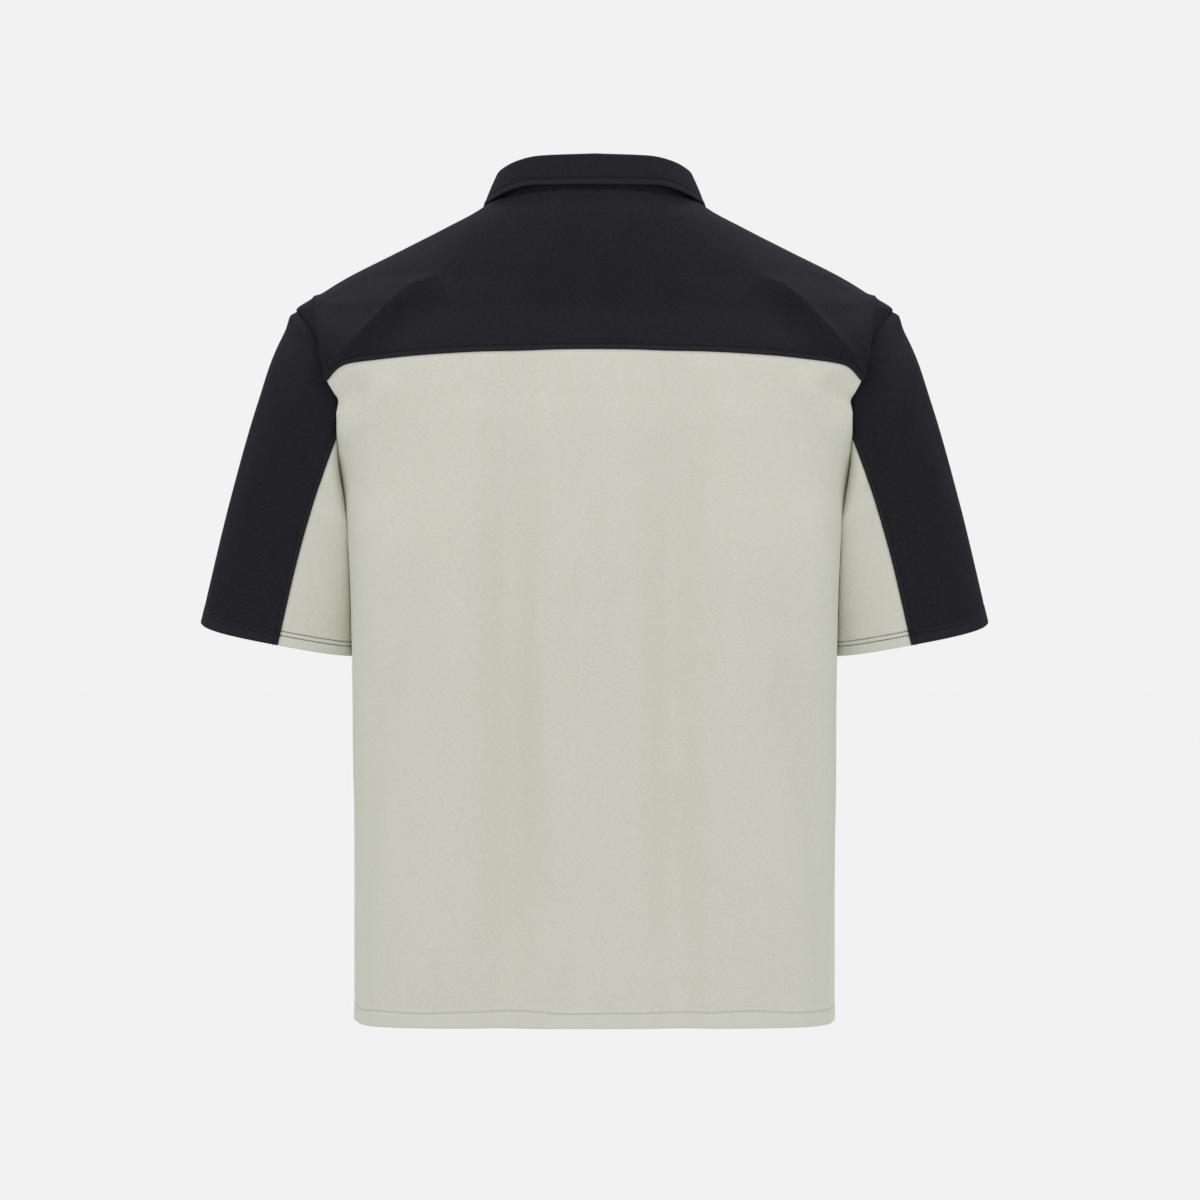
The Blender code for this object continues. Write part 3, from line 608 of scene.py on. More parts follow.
@dataclass(frozen=True)
class Edge:
    """How the cloth is finished along a border.

    roll is how deep the cloth dips into a seam, roll_spread how wide, and allowance how much of
    it lies past the seam, under its neighbour. turned is how far it is folded under, layers how
    much thicker that makes it inside, and raised how far it lifts the face. stitches are the
    distances of the stitch lines, which dent the cloth and pucker it a little, and sway is how
    far they wander; puff is how far the cloth stands up between the first line and the border.
    rounded is the radius of a free edge. boxed stitches turn the corner into the next border's.
    """

    roll: float = 0.0
    roll_spread: float = 2.6
    allowance: float = 0.0
    turned: float = 0.0
    layers: float = 0.0
    raised: float = 0.0
    stitches: tuple[float, ...] = ()
    sway: float = 0.0
    dent: float = 0.6
    groove: float = 0.8
    pucker: float = 0.12
    puff: float = 0.0
    rounded: float = 0.0
    boxed: bool = False
    seed: float = 1.0
    fold_fade: float = 1.6  # over how far a turned part's edge fades
    sway_length: float = 190.0
    pucker_length: float = 17.0
    pucker_drift: float = 41.0  # the length of a second, slower wave
    pucker_spread: float = 7.0

    def line(self, stitch: float, along: Array) -> Array:
        """How far from the border a stitch line runs."""
        return stitch + self.sway * wander(along, self.sway_length, self.seed)

    def turned_share(self, distance: Array) -> Array:
        """One where the cloth is turned under, fading to none past the turned part."""
        return np.clip((self.turned - distance) / self.fold_fade + 0.5, 0, 1)

    def rounding(self, distance: Array) -> Array:
        """How far a rounded edge falls away."""
        left = np.maximum(self.rounded - distance, 0)
        return self.rounded - np.sqrt(np.maximum(self.rounded**2 - left**2, 0))

    def out(self, distance: Array, along: Array) -> Array:
        """How far the border's finish moves the cloth's face outwards."""
        past = np.maximum(distance - self.allowance, 0)
        moved = -self.roll * np.exp(-((past / self.roll_spread) ** 2))
        moved -= self.rounding(distance)
        if self.turned:
            moved += self.raised * self.turned_share(distance)
        if self.puff:
            share = np.clip(distance / self.stitches[0], 0, 1)
            moved += self.puff * np.sin(math.pi * share)
        moved -= self.dent * self.pressed(distance, along)
        waves = wander(along, self.pucker_length, self.seed)
        waves += 0.8 * wander(along, self.pucker_drift, self.seed + 2)
        for stitch in self.stitches:
            off = distance - self.line(stitch, along)
            moved += self.pucker * waves * np.exp(-((off / self.pucker_spread) ** 2))
        return moved

    def pressed(self, distance: Array, along: Array) -> Array:
        """One on a stitch line, fading to none beside it."""
        offs = [distance - self.line(stitch, along) for stitch in self.stitches]
        return sum((np.exp(-((off / self.groove) ** 2)) for off in offs), np.zeros(distance.shape))

    def within(self, distance: Array) -> Array:
        """How much further in the border's finish puts the cloth's inner face."""
        return self.layers * self.turned_share(distance) - self.rounding(distance)


PLAIN = Edge()
SEAM = Edge(roll=1.1)
JOINED = Edge(roll=0.7)
ARMHOLE_SEAM = Edge(roll=1.0, roll_spread=1.1)
NECK_SEAM = Edge(roll=1.7, roll_spread=1.0)


@dataclass
class Cloth:
    """A piece of cloth: a grid of face points in millimetres, and how its borders are finished."""

    name: str
    points: Array
    facing: Array
    finish: Finish
    edges: dict[Border, Edge]
    wall: float = 1.2
    keep: Array | None = None  # the squares of the grid that are cloth, where not all are
    sharp_angle: float = 62.0
    normals: Array = field(init=False)
    reach: dict[Border, tuple[Array, Array]] = field(init=False)

    def __post_init__(self) -> None:
        """Measures the grid against its borders."""
        self.normals = grid_normals(self.points, self.facing)
        lines = {
            Border.LOW: self.points[0],
            Border.HIGH: self.points[-1],
            Border.START: self.points[:, 0],
            Border.END: self.points[:, -1],
        }
        self.reach = {b: to_line(self.points, line)[:2] for b, line in lines.items()}

    def face(self) -> Array:
        """The cloth's outer face, with its edges finished."""
        out = sum(edge.out(*self.reach[border]) for border, edge in self.edges.items())
        return self.points + self.normals * np.asarray(out)[..., None]

    def lining(self) -> Array:
        """The cloth's inner face."""
        depth = self.wall + sum(e.within(self.reach[b][0]) for b, e in self.edges.items())
        return self.points - self.normals * np.asarray(depth)[..., None]

    def stitch_line(self, border: Border, stitch: float, lift: float) -> tuple[Array, Array]:
        """A line on the cloth's face, parallel to a border.

        Args:
            border: The border it follows.
            stitch: Its distance from that border.
            lift: How far it stands off the face.

        Returns:
            Its points and the way the cloth faces at each.
        """
        distance, along = self.reach[border]
        face = self.face()
        off = distance - self.edges[border].line(stitch, along)
        inside = np.ones(off.shape, bool)
        for other, edge in self.edges.items():
            if other is not border and edge.boxed and self.edges[border].boxed:
                inside &= self.reach[other][0] >= edge.stitches[0] - 0.2
        grids = [face, self.normals, off, inside]
        if border in (Border.START, Border.END):
            grids = [np.swapaxes(grid, 0, 1) for grid in grids]
        if border in (Border.HIGH, Border.END):
            grids = [grid[::-1] for grid in grids]
        face, normals, off, inside = grids
        points = []
        facings = []
        for j in range(off.shape[1]):
            past = np.flatnonzero(off[:, j] >= 0)
            if not len(past) or past[0] == 0 or not inside[past[0], j]:
                continue
            i = past[0]
            share = -off[i - 1, j] / (off[i, j] - off[i - 1, j])
            points.append(face[i - 1, j] * (1 - share) + face[i, j] * share)
            facings.append(normals[i - 1, j] * (1 - share) + normals[i, j] * share)
        facings = unit(np.array(facings))
        return np.array(points) + facings * lift, facings

    def sizes(self) -> Array:
        """How far across and up the cloth each point lies, in metres."""
        across = np.linalg.norm(np.diff(self.points, axis=1), axis=-1)
        across = np.concatenate([np.zeros((len(across), 1)), np.cumsum(across, axis=1)], axis=1)
        across -= across[:, [across.shape[1] // 2]]
        up = np.linalg.norm(np.diff(self.points, axis=0), axis=-1)
        up = np.concatenate([np.zeros((1, up.shape[1])), np.cumsum(up, axis=0)])
        return np.stack([across, up], axis=-1) * METRES

    def doubled(self) -> Array:
        """How far the cloth is more than one layer thick at each point, from 0 to 1."""
        shares = [e.turned_share(self.reach[b][0]) for b, e in self.edges.items() if e.turned]
        return np.clip(sum(shares, np.zeros(self.points.shape[:2])), 0, 1)

    def pressed(self) -> Array:
        """How far stitches press the cloth down at each point, from 0 to 1."""
        shares = [e.pressed(*self.reach[b]) for b, e in self.edges.items()]
        return np.clip(sum(shares), 0, 1)

    def build(self) -> Piece:
        """Makes the closed shell: the face, the inner face and the rim between them."""
        rows, columns = self.points.shape[:2]
        corners = first_corners(rows, columns)
        quads = squares(corners.ravel() if self.keep is None else corners[self.keep], columns)
        face = self.face().reshape(-1, 3)
        first = face[quads[len(quads) // 2]]
        normal = self.normals.reshape(-1, 3)[quads[len(quads) // 2][0]]
        if np.dot(np.cross(first[1] - first[0], first[3] - first[0]), normal) < 0:
            quads = quads[:, ::-1]
        shift = rows * columns
        sides = np.stack([quads, np.roll(quads, -1, axis=1)], axis=-1).reshape(-1, 2)
        key = sides[:, 0] * shift + sides[:, 1]
        back = sides[:, 1] * shift + sides[:, 0]
        rim = sides[~np.isin(key, back)]
        wall = np.concatenate([rim[:, ::-1], rim + shift], axis=1)
        faces = np.concatenate([quads, quads[:, ::-1] + shift, wall])
        used, faces = np.unique(faces, return_inverse=True)
        points = np.concatenate([face, self.lining().reshape(-1, 3)])[used] * METRES
        mesh = bpy.data.meshes.new(self.name)
        mesh.from_pydata(points.tolist(), [], faces.reshape(-1, 4).tolist())
        sizes = np.tile(self.sizes().reshape(-1, 2), (2, 1))[used]
        layer = mesh.uv_layers.new(name="cloth")
        layer.data.foreach_set("uv", sizes[faces.reshape(-1)].astype(np.float32).ravel())
        # The pressed share also tells the material where to paint shade along the stitches.
        for label, shares in (("doubled", self.doubled()), ("pressed", self.pressed())):
            layer = mesh.attributes.new(label, "FLOAT", "POINT")
            layer.data.foreach_set("value", np.tile(shares.ravel(), 2)[used])
        mesh.materials.append(self.finish)
        mesh.shade_smooth()
        mesh.set_sharp_from_angle(angle=math.radians(self.sharp_angle))
        return placed(mesh)


def placed(mesh: bpy.types.Mesh) -> Piece:
    """An object of its mesh's name at the origin, in the scene."""
    piece = bpy.data.objects.new(mesh.name, mesh)
    bpy.context.scene.collection.objects.link(piece)
    return piece


# ---------------------------------------------------------------- body pieces


@dataclass
class Body:
    """The yokes and panels, back and front."""

    form: BodyForm
    pale: Finish
    dark: Finish
    hem_level: float = RINGS[0].level
    half_girth: float = 285.5
    finest: float = 0.6
    fine: float = 1.1
    coarse: float = 4.2
    yoke_coarse: float = 3.3  # the yokes' sharper folds need a closer grid
    yoke_fine: float = 0.7
    yoke_rows: float = 1.8
    even_bend: float = 0.62  # the share of the rows' fall that is spread over the body
    end_bend: int = 16  # the power that keeps the rest at its ends
    tip_drop: float = 6.0  # how much lower the row from the shoulder's end is at the centre
    ridge_reach: float = 116.0  # how far in from the armhole the sharpest folds run
    ridge_pitch: float = 14.0
    crest: float = 13.0  # from the armhole to the fold beside it
    hem_stitch: float = 13.6
    yoke_stitch: float = 4.6
    armhole_run: float = 90.0  # the yoke's side on the armhole
    ridge_run: float = 170.0  # and along the shoulder

    def columns(self, side: Side, coarse: float) -> Array:
        """Places across the body from -1 at the left to 1, close together at the seams."""
        middle = self.half_girth
        slit = self.form.placket_half
        near = (0.0, self.crest)
        if coarse < self.coarse:
            near += tuple(np.arange(self.crest, self.ridge_reach, self.ridge_pitch))
        near += tuple(2 * middle - np.array(near))
        if side is Side.FRONT:
            near += (middle - slit, middle + slit)
        across = graded(2 * middle, near, self.fine, coarse) / middle - 1
        if side is Side.FRONT:
            pin(across, -slit / middle)
            pin(across, slit / middle)
        return across

    def rows_at(self, side: Side, lines: Array, coarse: float) -> tuple[Array, Array]:
        """Shares and levels of a grid from the centre level, end level and end share of rows."""
        across = self.columns(side, coarse)
        centre, end, share = (lines[:, k : k + 1] for k in range(3))
        bend = self.even_bend * across**2 + (1 - self.even_bend) * abs(across) ** self.end_bend
        levels = centre + (end - centre) * bend
        if side is Side.BACK:
            return across * share, levels
        beside = self.form.placket_half / self.half_girth
        at_edge = self.form.share_at_x(lines[:, 0], self.form.placket_half)[:, None]
        inner = across / beside * at_edge
        outer = at_edge + (share - at_edge) * (abs(across) - beside) / (1 - beside)
        return np.where(abs(across) <= beside, inner, np.sign(across) * outer), levels

    def panel_lines(self, side: Side) -> Array:
        """The rows of a panel, from the hem to the yoke seam."""
        form = self.form
        top = form.yoke_centre(side)
        length = top - self.hem_level
        near = (0.0, self.hem_stitch, length)
        if side is Side.FRONT:
            near += (form.placket_end - self.hem_level,)
        levels = self.hem_level + graded(length, near, self.finest, self.coarse)
        if side is Side.FRONT:
            pin(levels, form.placket_end)
        turn = (levels - form.armpit_level) / (top - form.armpit_level)
        angles = 180 - np.clip(turn, 0, 1) * (180 - form.yoke_angle)
        ends = np.where(turn > 0, form.armhole_level(angles), levels)
        shares = [form.armhole_share(z, a) if t > 0 else 1 for z, a, t in zip(ends, angles, turn)]
        return np.stack([levels, ends, shares], axis=1)

    def yoke_lines(self, side: Side) -> Array:
        """The rows of a yoke, from its seam to the neckline."""
        form = self.form
        length = self.armhole_run + self.ridge_run
        near = (0.0, self.yoke_stitch, 2 * self.yoke_stitch, 2.9 * self.yoke_stitch, length)
        places = graded(length, near, self.yoke_fine, self.yoke_rows)
        lower = form.yoke_centre(side)
        tip = form.tip_level - self.tip_drop
        turn = np.clip(places / self.armhole_run, 0, 1)
        over = np.clip((places - self.armhole_run) / self.ridge_run, 0, 1)
        angles = form.yoke_angle * (1 - turn)
        centre = lower + (tip - lower) * turn + (form.neck_level - tip) * over
        end = form.armhole_level(angles) + (form.neck_level - form.tip_level) * over
        shares = [form.armhole_share(z, a) if a > 0 else 1 for z, a in zip(end, angles)]
        return np.stack([centre, end, shares], axis=1)

    def grid(self, side: Side, lines: Array, coarse: float) -> tuple[Array, Array]:
        """Points over the whole of a side, between its rows, and the way it faces at each."""
        at = self.rows_at(side, lines, coarse)
        return self.form.point(side, *at), self.form.base_normal(side, *at)

    def panel(self, side: Side) -> Cloth:
        """The pale panel, with its turned hem, and a slit for the placket at the front."""
        hem = Edge(
            turned=14.5,
            layers=1.1,
            raised=0.3,
            stitches=(self.hem_stitch,),
            sway=1.3,
            pucker=0.16,
            rounded=1.0,
            seed=2.0 + side.value,
        )
        lines = self.panel_lines(side)
        points, facing = self.grid(side, lines, self.coarse)
        edges = {Border.LOW: hem, Border.HIGH: JOINED, Border.START: SEAM, Border.END: SEAM}
        made = Cloth(f"{side.name.lower()}_panel", points, facing, self.pale, edges)
        if side is Side.FRONT:
            across = self.columns(side, self.coarse)
            middle = abs((across[:-1] + across[1:]) / 2) < self.form.placket_half / self.half_girth
            above = lines[:-1, 0] > self.form.placket_end - 0.5
            made.keep = ~(above[:, None] & middle[None])
        return made

    def yokes(self, side: Side) -> list[Cloth]:
        """The dark yoke, in one behind and in two halves before."""
        lapped = Edge(
            turned=self.yoke_stitch,
            layers=0.8,
            raised=0.3,
            stitches=(self.yoke_stitch,),
            dent=0.5,
            groove=0.6,
            pucker=0.06,
            puff=0.35,
            rounded=0.45,
            seed=4.0 + side.value,
        )
        points, facing = self.grid(side, self.yoke_lines(side), self.yoke_coarse)
        sides = {Border.START: ARMHOLE_SEAM, Border.END: ARMHOLE_SEAM}
        edges = {Border.LOW: lapped, Border.HIGH: NECK_SEAM, **sides}
        if side is Side.BACK:
            return [Cloth("back_yoke", points, facing, self.dark, edges)]
        across = self.columns(side, self.yoke_coarse)
        beside = self.form.placket_half / self.half_girth
        halves = {
            "left": (across <= -beside + 1e-9, Border.END),
            "right": (across >= beside - 1e-9, Border.START),
        }
        made = []
        for label, (half, inner) in halves.items():
            own = {**edges, inner: PLAIN}
            name = f"front_yoke_{label}"
            made.append(Cloth(name, points[:, half], facing[:, half], self.dark, own))
        return made


# ---------------------------------------------------------------- sleeves


@dataclass(frozen=True)
class SleeveRing:
    """A section of the left sleeve, through an outer and an inner point."""

    outer_x: float
    outer_z: float
    inner_x: float
    inner_z: float
    half_depth: float
    centre_y: float
    lean: float  # how much lower the back of the ring lies
    power: float  # of the outer half; 2 is an ellipse, 4 a well-rounded box
    inner_power: float  # of the half that lies against the body
    seam: float  # where the seams lie, 0 at the outer point and 180 at the inner


@dataclass
class Sleeves:
    """The two sleeves, each of a dark upper and a pale under piece."""

    form: BodyForm
    pale: Finish
    dark: Finish
    rings: tuple[SleeveRing, ...] = (
        SleeveRing(-277.9, -121.5, -211.0, -276.0, 76.0, 1.0, 0.0, 2.3, 3.3, 111.0),
        SleeveRing(-295.5, -171.0, -204.0, -304.0, 72.0, 4.0, 1.0, 2.8, 4.0, 101.3),
        SleeveRing(-320.5, -257.0, -203.0, -347.0, 65.0, 9.0, 3.0, 3.0, 3.8, 94.0),
        SleeveRing(-346.9, -364.0, -203.0, -391.0, 59.0, 15.0, 8.5, 3.0, 3.0, 88.9),
    )
    knots: tuple[float, ...] = (0.0, 0.12, 0.32, 0.64, 1.0)
    seam_angle: float = 110.0
    length: float = 285.0
    round_per_degree: float = 1.1
    finest: float = 0.6
    fine: float = 1.1
    coarse: float = 4.2
    allowance: float = 4.0
    allowance_start: float = 1.2
    rest: float = 0.15  # how near the body's side the sleeve lies
    rest_ease: float = 0.5
    rest_run: float = 13.0
    seam_hold: float = 5.0  # folds die away this near the armhole
    cuff_stitches: tuple[float, float] = (9.3, 13.2)
    seam_stitch: float = 4.2

    @staticmethod
    def from_tip(angles: Array) -> Array:
        """How far angles round the whole sleeve are from its outer line, up to 180."""
        return np.where(angles <= 180, angles, 360 - angles)

    def armhole(self, angles: Array) -> Array:
        """The left armhole's points at angles from the tip round the back."""
        turns = self.from_tip(angles)
        levels = self.form.armhole_level(turns)
        shares = -np.array([self.form.armhole_share(z, a) for z, a in zip(levels, turns)])
        points = np.zeros((len(angles), 3))
        for side, on_side in ((Side.BACK, angles <= 180), (Side.FRONT, angles > 180)):
            if on_side.any():
                points[on_side] = self.form.point(side, shares[on_side], levels[on_side])
        return points

    def ring(self, ring: SleeveRing, angles: Array) -> Array:
        """Points of a section; the seams move from under the arm to its middle."""
        turn = self.from_tip(angles)
        past = (turn - self.seam_angle) * (180 - ring.seam) / (180 - self.seam_angle)
        turn = np.where(turn < self.seam_angle, turn * ring.seam / self.seam_angle, ring.seam + past)
        cosine, sine = np.cos(np.radians(turn)), np.sin(np.radians(turn))
        power = np.where(cosine > 0, ring.power, ring.inner_power)
        radius = border_radius(cosine, sine, power)
        behind = np.where(angles <= 180, 1, -1) * radius * sine
        outer = np.array([ring.outer_x, ring.centre_y, ring.outer_z])
        inner = np.array([ring.inner_x, ring.centre_y, ring.inner_z])
        along = (outer + inner) / 2 + (outer - inner) / 2 * (radius * cosine)[:, None]
        return along + behind[:, None] * np.array([0, -ring.half_depth, -ring.lean])

    def surface(self, angles: Array, at: Array) -> Array:
        """Points of the sleeve, row by row from the armhole to the cuff."""
        knots = np.asarray(self.knots)
        stack = np.array([self.armhole(angles)] + [self.ring(r, angles) for r in self.rings])
        return cubic(knots, stack, np.gradient(stack, knots, axis=0), at)

    def beside_body(self, points: Array, at: Array) -> Array:
        """Lays the sleeve against the body's side, all but at the armhole."""
        x, y, z = (points[..., k] for k in range(3))
        form = self.form
        depth = np.where(y < 0, form.value("back", z), form.value("front", z))
        across = far_side(np.clip(abs(y) / depth, 0, 1), form.value("power", z))
        wall = form.value("half_width", z) * across
        fade = np.clip(at * self.length / self.rest_run, 0, 1)[:, None]
        past = -x - wall - self.rest * fade
        eased = (past + np.sqrt(past**2 + (self.rest_ease * fade) ** 2)) / 2
        return np.stack([-(wall + self.rest * fade + eased), y, z], axis=-1)

    def folded(self, angles: Array, creases: tuple[Crease, ...]) -> tuple[Array, Array]:
        """Points of the sleeve with its folds, and the way it faces."""
        low, high = self.cuff_stitches
        near = (0.0, self.length - high, self.length - low, self.length)
        places = graded(self.length, near, self.finest, self.coarse)
        at = places / self.length
        points = self.tucked(self.beside_body(self.surface(angles, at), at))
        whole = self.tucked(self.surface(np.linspace(0, 360, 25), at))
        away = points - whole[:, :-1].mean(axis=1, keepdims=True)
        facing = grid_normals(points, away)
        round_it = np.where(angles <= 180, angles, angles - 360) * self.round_per_degree
        sizes = np.stack(np.meshgrid(round_it, np.concatenate([[0.0, 0.0], places])), axis=-1)
        whole_turn = np.array([360 * self.round_per_degree, 0.0])
        height = sum(raised_by(creases, sizes + k * whole_turn) for k in (-1, 0, 1))
        held = np.clip(sizes[..., 1] / self.seam_hold, 0, 1)
        return points + facing * (np.asarray(height) * held)[..., None], facing

    def tucked(self, points: Array) -> Array:
        """Adds two rows before the first, for the seam allowance inside the body."""
        way = unit(points[0] - points[1])
        added = [points[0] + way * past for past in (self.allowance, self.allowance_start)]
        return np.concatenate([added, points])

    def make(self) -> list[Cloth]:
        """The four pieces of the two sleeves."""
        span = 2 * self.seam_angle * self.round_per_degree
        near = (0.0, self.seam_stitch, span - self.seam_stitch, span)
        across = graded(span, near, self.finest, self.coarse) / span
        upper = (across * 2 - 1) * self.seam_angle
        upper = np.where(upper < 0, upper + 360, upper)
        rest = 360 - 2 * self.seam_angle
        span = rest * self.round_per_degree
        across = graded(span, (0.0, span), self.fine, self.coarse) / span
        under = self.seam_angle + across * rest
        cuff = Edge(
            turned=14.2,
            layers=1.1,
            raised=0.25,
            stitches=self.cuff_stitches,
            sway=0.4,
            dent=0.45,
            groove=0.7,
            pucker=0.14,
            rounded=1.0,
            seed=3.3,
        )
        lapped = Edge(
            turned=self.seam_stitch,
            layers=0.6,
            raised=0.25,
            stitches=(self.seam_stitch,),
            pucker=0.04,
            puff=0.12,
            groove=0.35,
            seed=6.1,
        )
        tuck = Edge(roll=0.6, roll_spread=1.1, allowance=self.allowance)
        made = []
        sides = (("left", 1.0, LEFT_SLEEVE_CREASES), ("right", -1.0, RIGHT_SLEEVE_CREASES))
        for label, mirror, creases in sides:
            flip = np.array([mirror, 1.0, 1.0])
            kinds = (("upper", upper, self.dark, lapped), ("under", under, self.pale, JOINED))
            for kind, angles, finish, edge in kinds:
                points, facing = self.folded(angles, creases)
                edges = {Border.LOW: tuck, Border.HIGH: cuff, Border.START: edge, Border.END: edge}
                name = f"sleeve_{kind}_{label}"
                made.append(Cloth(name, points * flip, facing * flip, finish, edges))
        return made


# ---------------------------------------------------------------- collar


@dataclass(frozen=True)
class CollarStation:
    """The leaf's fold and edge at an angle from centre back; x is on the +X side."""

    angle: float
    fold_x: float
    fold_y: float
    fold_z: float
    edge_x: float
    edge_y: float
    edge_z: float


@dataclass
class Collar:
    """The stand and the leaf that folds over it."""

    form: BodyForm
    tree: BVHTree
    dark: Finish
    stations: tuple[CollarStation, ...] = (
        CollarStation(0.0, 0.0, -68.0, 41.6, 0.0, -77.0, 14.4),
        CollarStation(35.0, 47.0, -57.5, 40.6, 53.5, -66.3, 14.4),
        CollarStation(65.0, 75.0, -32.0, 34.3, 87.0, -40.0, 5.2),
        CollarStation(90.0, 84.0, 0.0, 27.0, 98.0, 4.0, -2.0),
        CollarStation(120.0, 74.0, 40.0, 4.0, 97.0, 56.0, -34.0),
        CollarStation(150.0, 44.0, 72.0, -26.0, 82.0, 92.0, -72.0),
        CollarStation(170.0, 9.0, 83.5, -47.0, 60.0, 112.0, -106.0),
        CollarStation(180.0, 0.5, 84.0, -49.0, 52.0, 114.0, -108.0),
    )
    opening: float = 1.0
    wall: float = 1.5
    roll: float = 3.0
    rest: float = 0.5
    belly: float = 0.5
    stitch: float = 5.3
    gap: float = 0.3
    tuck: float = 1.4  # the stand's lower edge goes in behind the yokes
    tuck_drop: float = 3.0
    stand_rows: int = 12
    roll_rows: int = 12
    roll_end: float = 35.0  # where the roll ends, 180 at its inner side
    leaf_depth: float = 38.0
    rising: float = 40.0  # how much of the way out from the body's middle is upwards
    leaf_steps: tuple[float, float] = (0.0025, 0.012)  # round the leaf, as shares of half of it
    drop_steps: tuple[float, float] = (0.014, 0.06)  # and down it
    end_reach: float = 0.022  # the leaf's close steps run this far in from its ends

    def station(self, angle: Array) -> tuple[Array, Array]:
        """Fold and edge points at angles from centre back, negative on the left."""
        turn = abs(angle)
        knots = [s.angle for s in self.stations]

        def read(name: str) -> Array:
            """One column of the table at the angles."""
            return smooth(knots, [getattr(s, name) for s in self.stations], turn)

        way = np.sign(angle)
        fold = np.stack([way * read("fold_x"), read("fold_y"), read("fold_z")], axis=-1)
        edge = np.stack([way * read("edge_x"), read("edge_y"), read("edge_z")], axis=-1)
        return fold, edge

    def neckline(self) -> Array:
        """The yokes' top edge, from centre front on the left round the back to the right."""
        level = self.form.neck_level
        near = float(self.form.share_at_x(np.array(level), self.opening / 2))
        half = np.linspace(near, 1, 44)
        back = np.linspace(-1, 1, 88)

        def at(side: Side, shares: Array) -> Array:
            """Points of a side's cloth at the neck."""
            return self.form.point(side, shares, np.full(len(shares), level))

        left = at(Side.FRONT, -half)
        right = at(Side.FRONT, half[::-1])
        return np.concatenate([left[:-1], at(Side.BACK, back), right[1:]])

    @staticmethod
    def away(angle: Array) -> Array:
        """Level directions out from the neck."""
        turn = np.radians(angle)
        return np.stack([np.sin(turn), -np.cos(turn), 0 * turn], axis=-1)

    def stand(self) -> Cloth:
        """The stand, from the neck seam up to just under the leaf's roll."""
        seam = self.neckline()
        angle = np.degrees(np.arctan2(seam[:, 0], -seam[:, 1]))
        fold, _ = self.station(angle)
        outwards = self.away(angle)
        low = seam - outwards * self.tuck - UP * self.tuck_drop
        top = fold - outwards * (self.roll - self.wall) - UP * (self.roll + self.gap)
        share = np.linspace(0, 1, self.stand_rows)[:, None, None]
        points = low + (top - low) * share
        facing = np.broadcast_to(outwards, points.shape)
        ends = Edge(rounded=0.7, stitches=(2.4,), dent=0.25, pucker=0.0)
        edges = {Border.LOW: SEAM, Border.START: ends, Border.END: ends}
        return Cloth("collar_stand", points, facing, self.dark, edges, self.wall)

    def leaf(self) -> Cloth:
        """The leaf: up from the stand, over the roll and down to its edge."""
        level = np.array([self.form.neck_level])
        start = self.form.share_at_x(level, self.form.placket_half)
        corner = self.form.point(Side.FRONT, start, level)[0]
        last = math.degrees(math.atan2(corner[0], -corner[1]))
        near = (0.0, self.end_reach, 2.0 - self.end_reach, 2.0)
        span = graded(2.0, near, *self.leaf_steps) - 1
        angle = last * span
        fold, edge = self.station(angle)
        outwards = self.away(angle)
        turns = np.radians(np.linspace(180, self.roll_end, self.roll_rows))[:, None, None]
        swept = outwards * np.cos(turns) + UP * np.sin(turns)
        rolled = fold - UP * self.roll + swept * self.roll
        near = (1.0, 1.0 - self.stitch / self.leaf_depth)
        drop = graded(1.0, near, *self.drop_steps)[1:, None, None]
        belly = outwards * self.belly * np.sin(math.pi * drop)
        fall = rolled[-1] + (edge - rolled[-1]) * drop + belly
        for row in fall:
            for k, point in enumerate(row):
                row[k] = self.held_off(point)
        points = np.concatenate([rolled, fall])
        facing = np.concatenate([swept, np.broadcast_to(outwards + 0.3 * UP, fall.shape)])
        free = Edge(
            turned=self.stitch,
            raised=0.2,
            stitches=(self.stitch,),
            pucker=0.04,
            puff=0.25,
            rounded=0.7,
            boxed=True,
            seed=5.2,
        )
        edges = {Border.HIGH: free, Border.START: free, Border.END: free}
        return Cloth("collar_leaf", points, facing, self.dark, edges, self.wall)

    def held_off(self, point: Array) -> Array:
        """The point, moved out of the body's surface to its clearance."""
        place, normal, _, _ = self.tree.find_nearest(Vector(point))
        if normal.dot(Vector((place.x, place.y, self.rising))) < 0:
            normal = -normal
        height = (Vector(point) - place).dot(normal)
        short = max(self.wall + self.rest - height, 0.0)
        return np.array(point) + np.array(normal) * short


# ---------------------------------------------------------------- placket and buttons


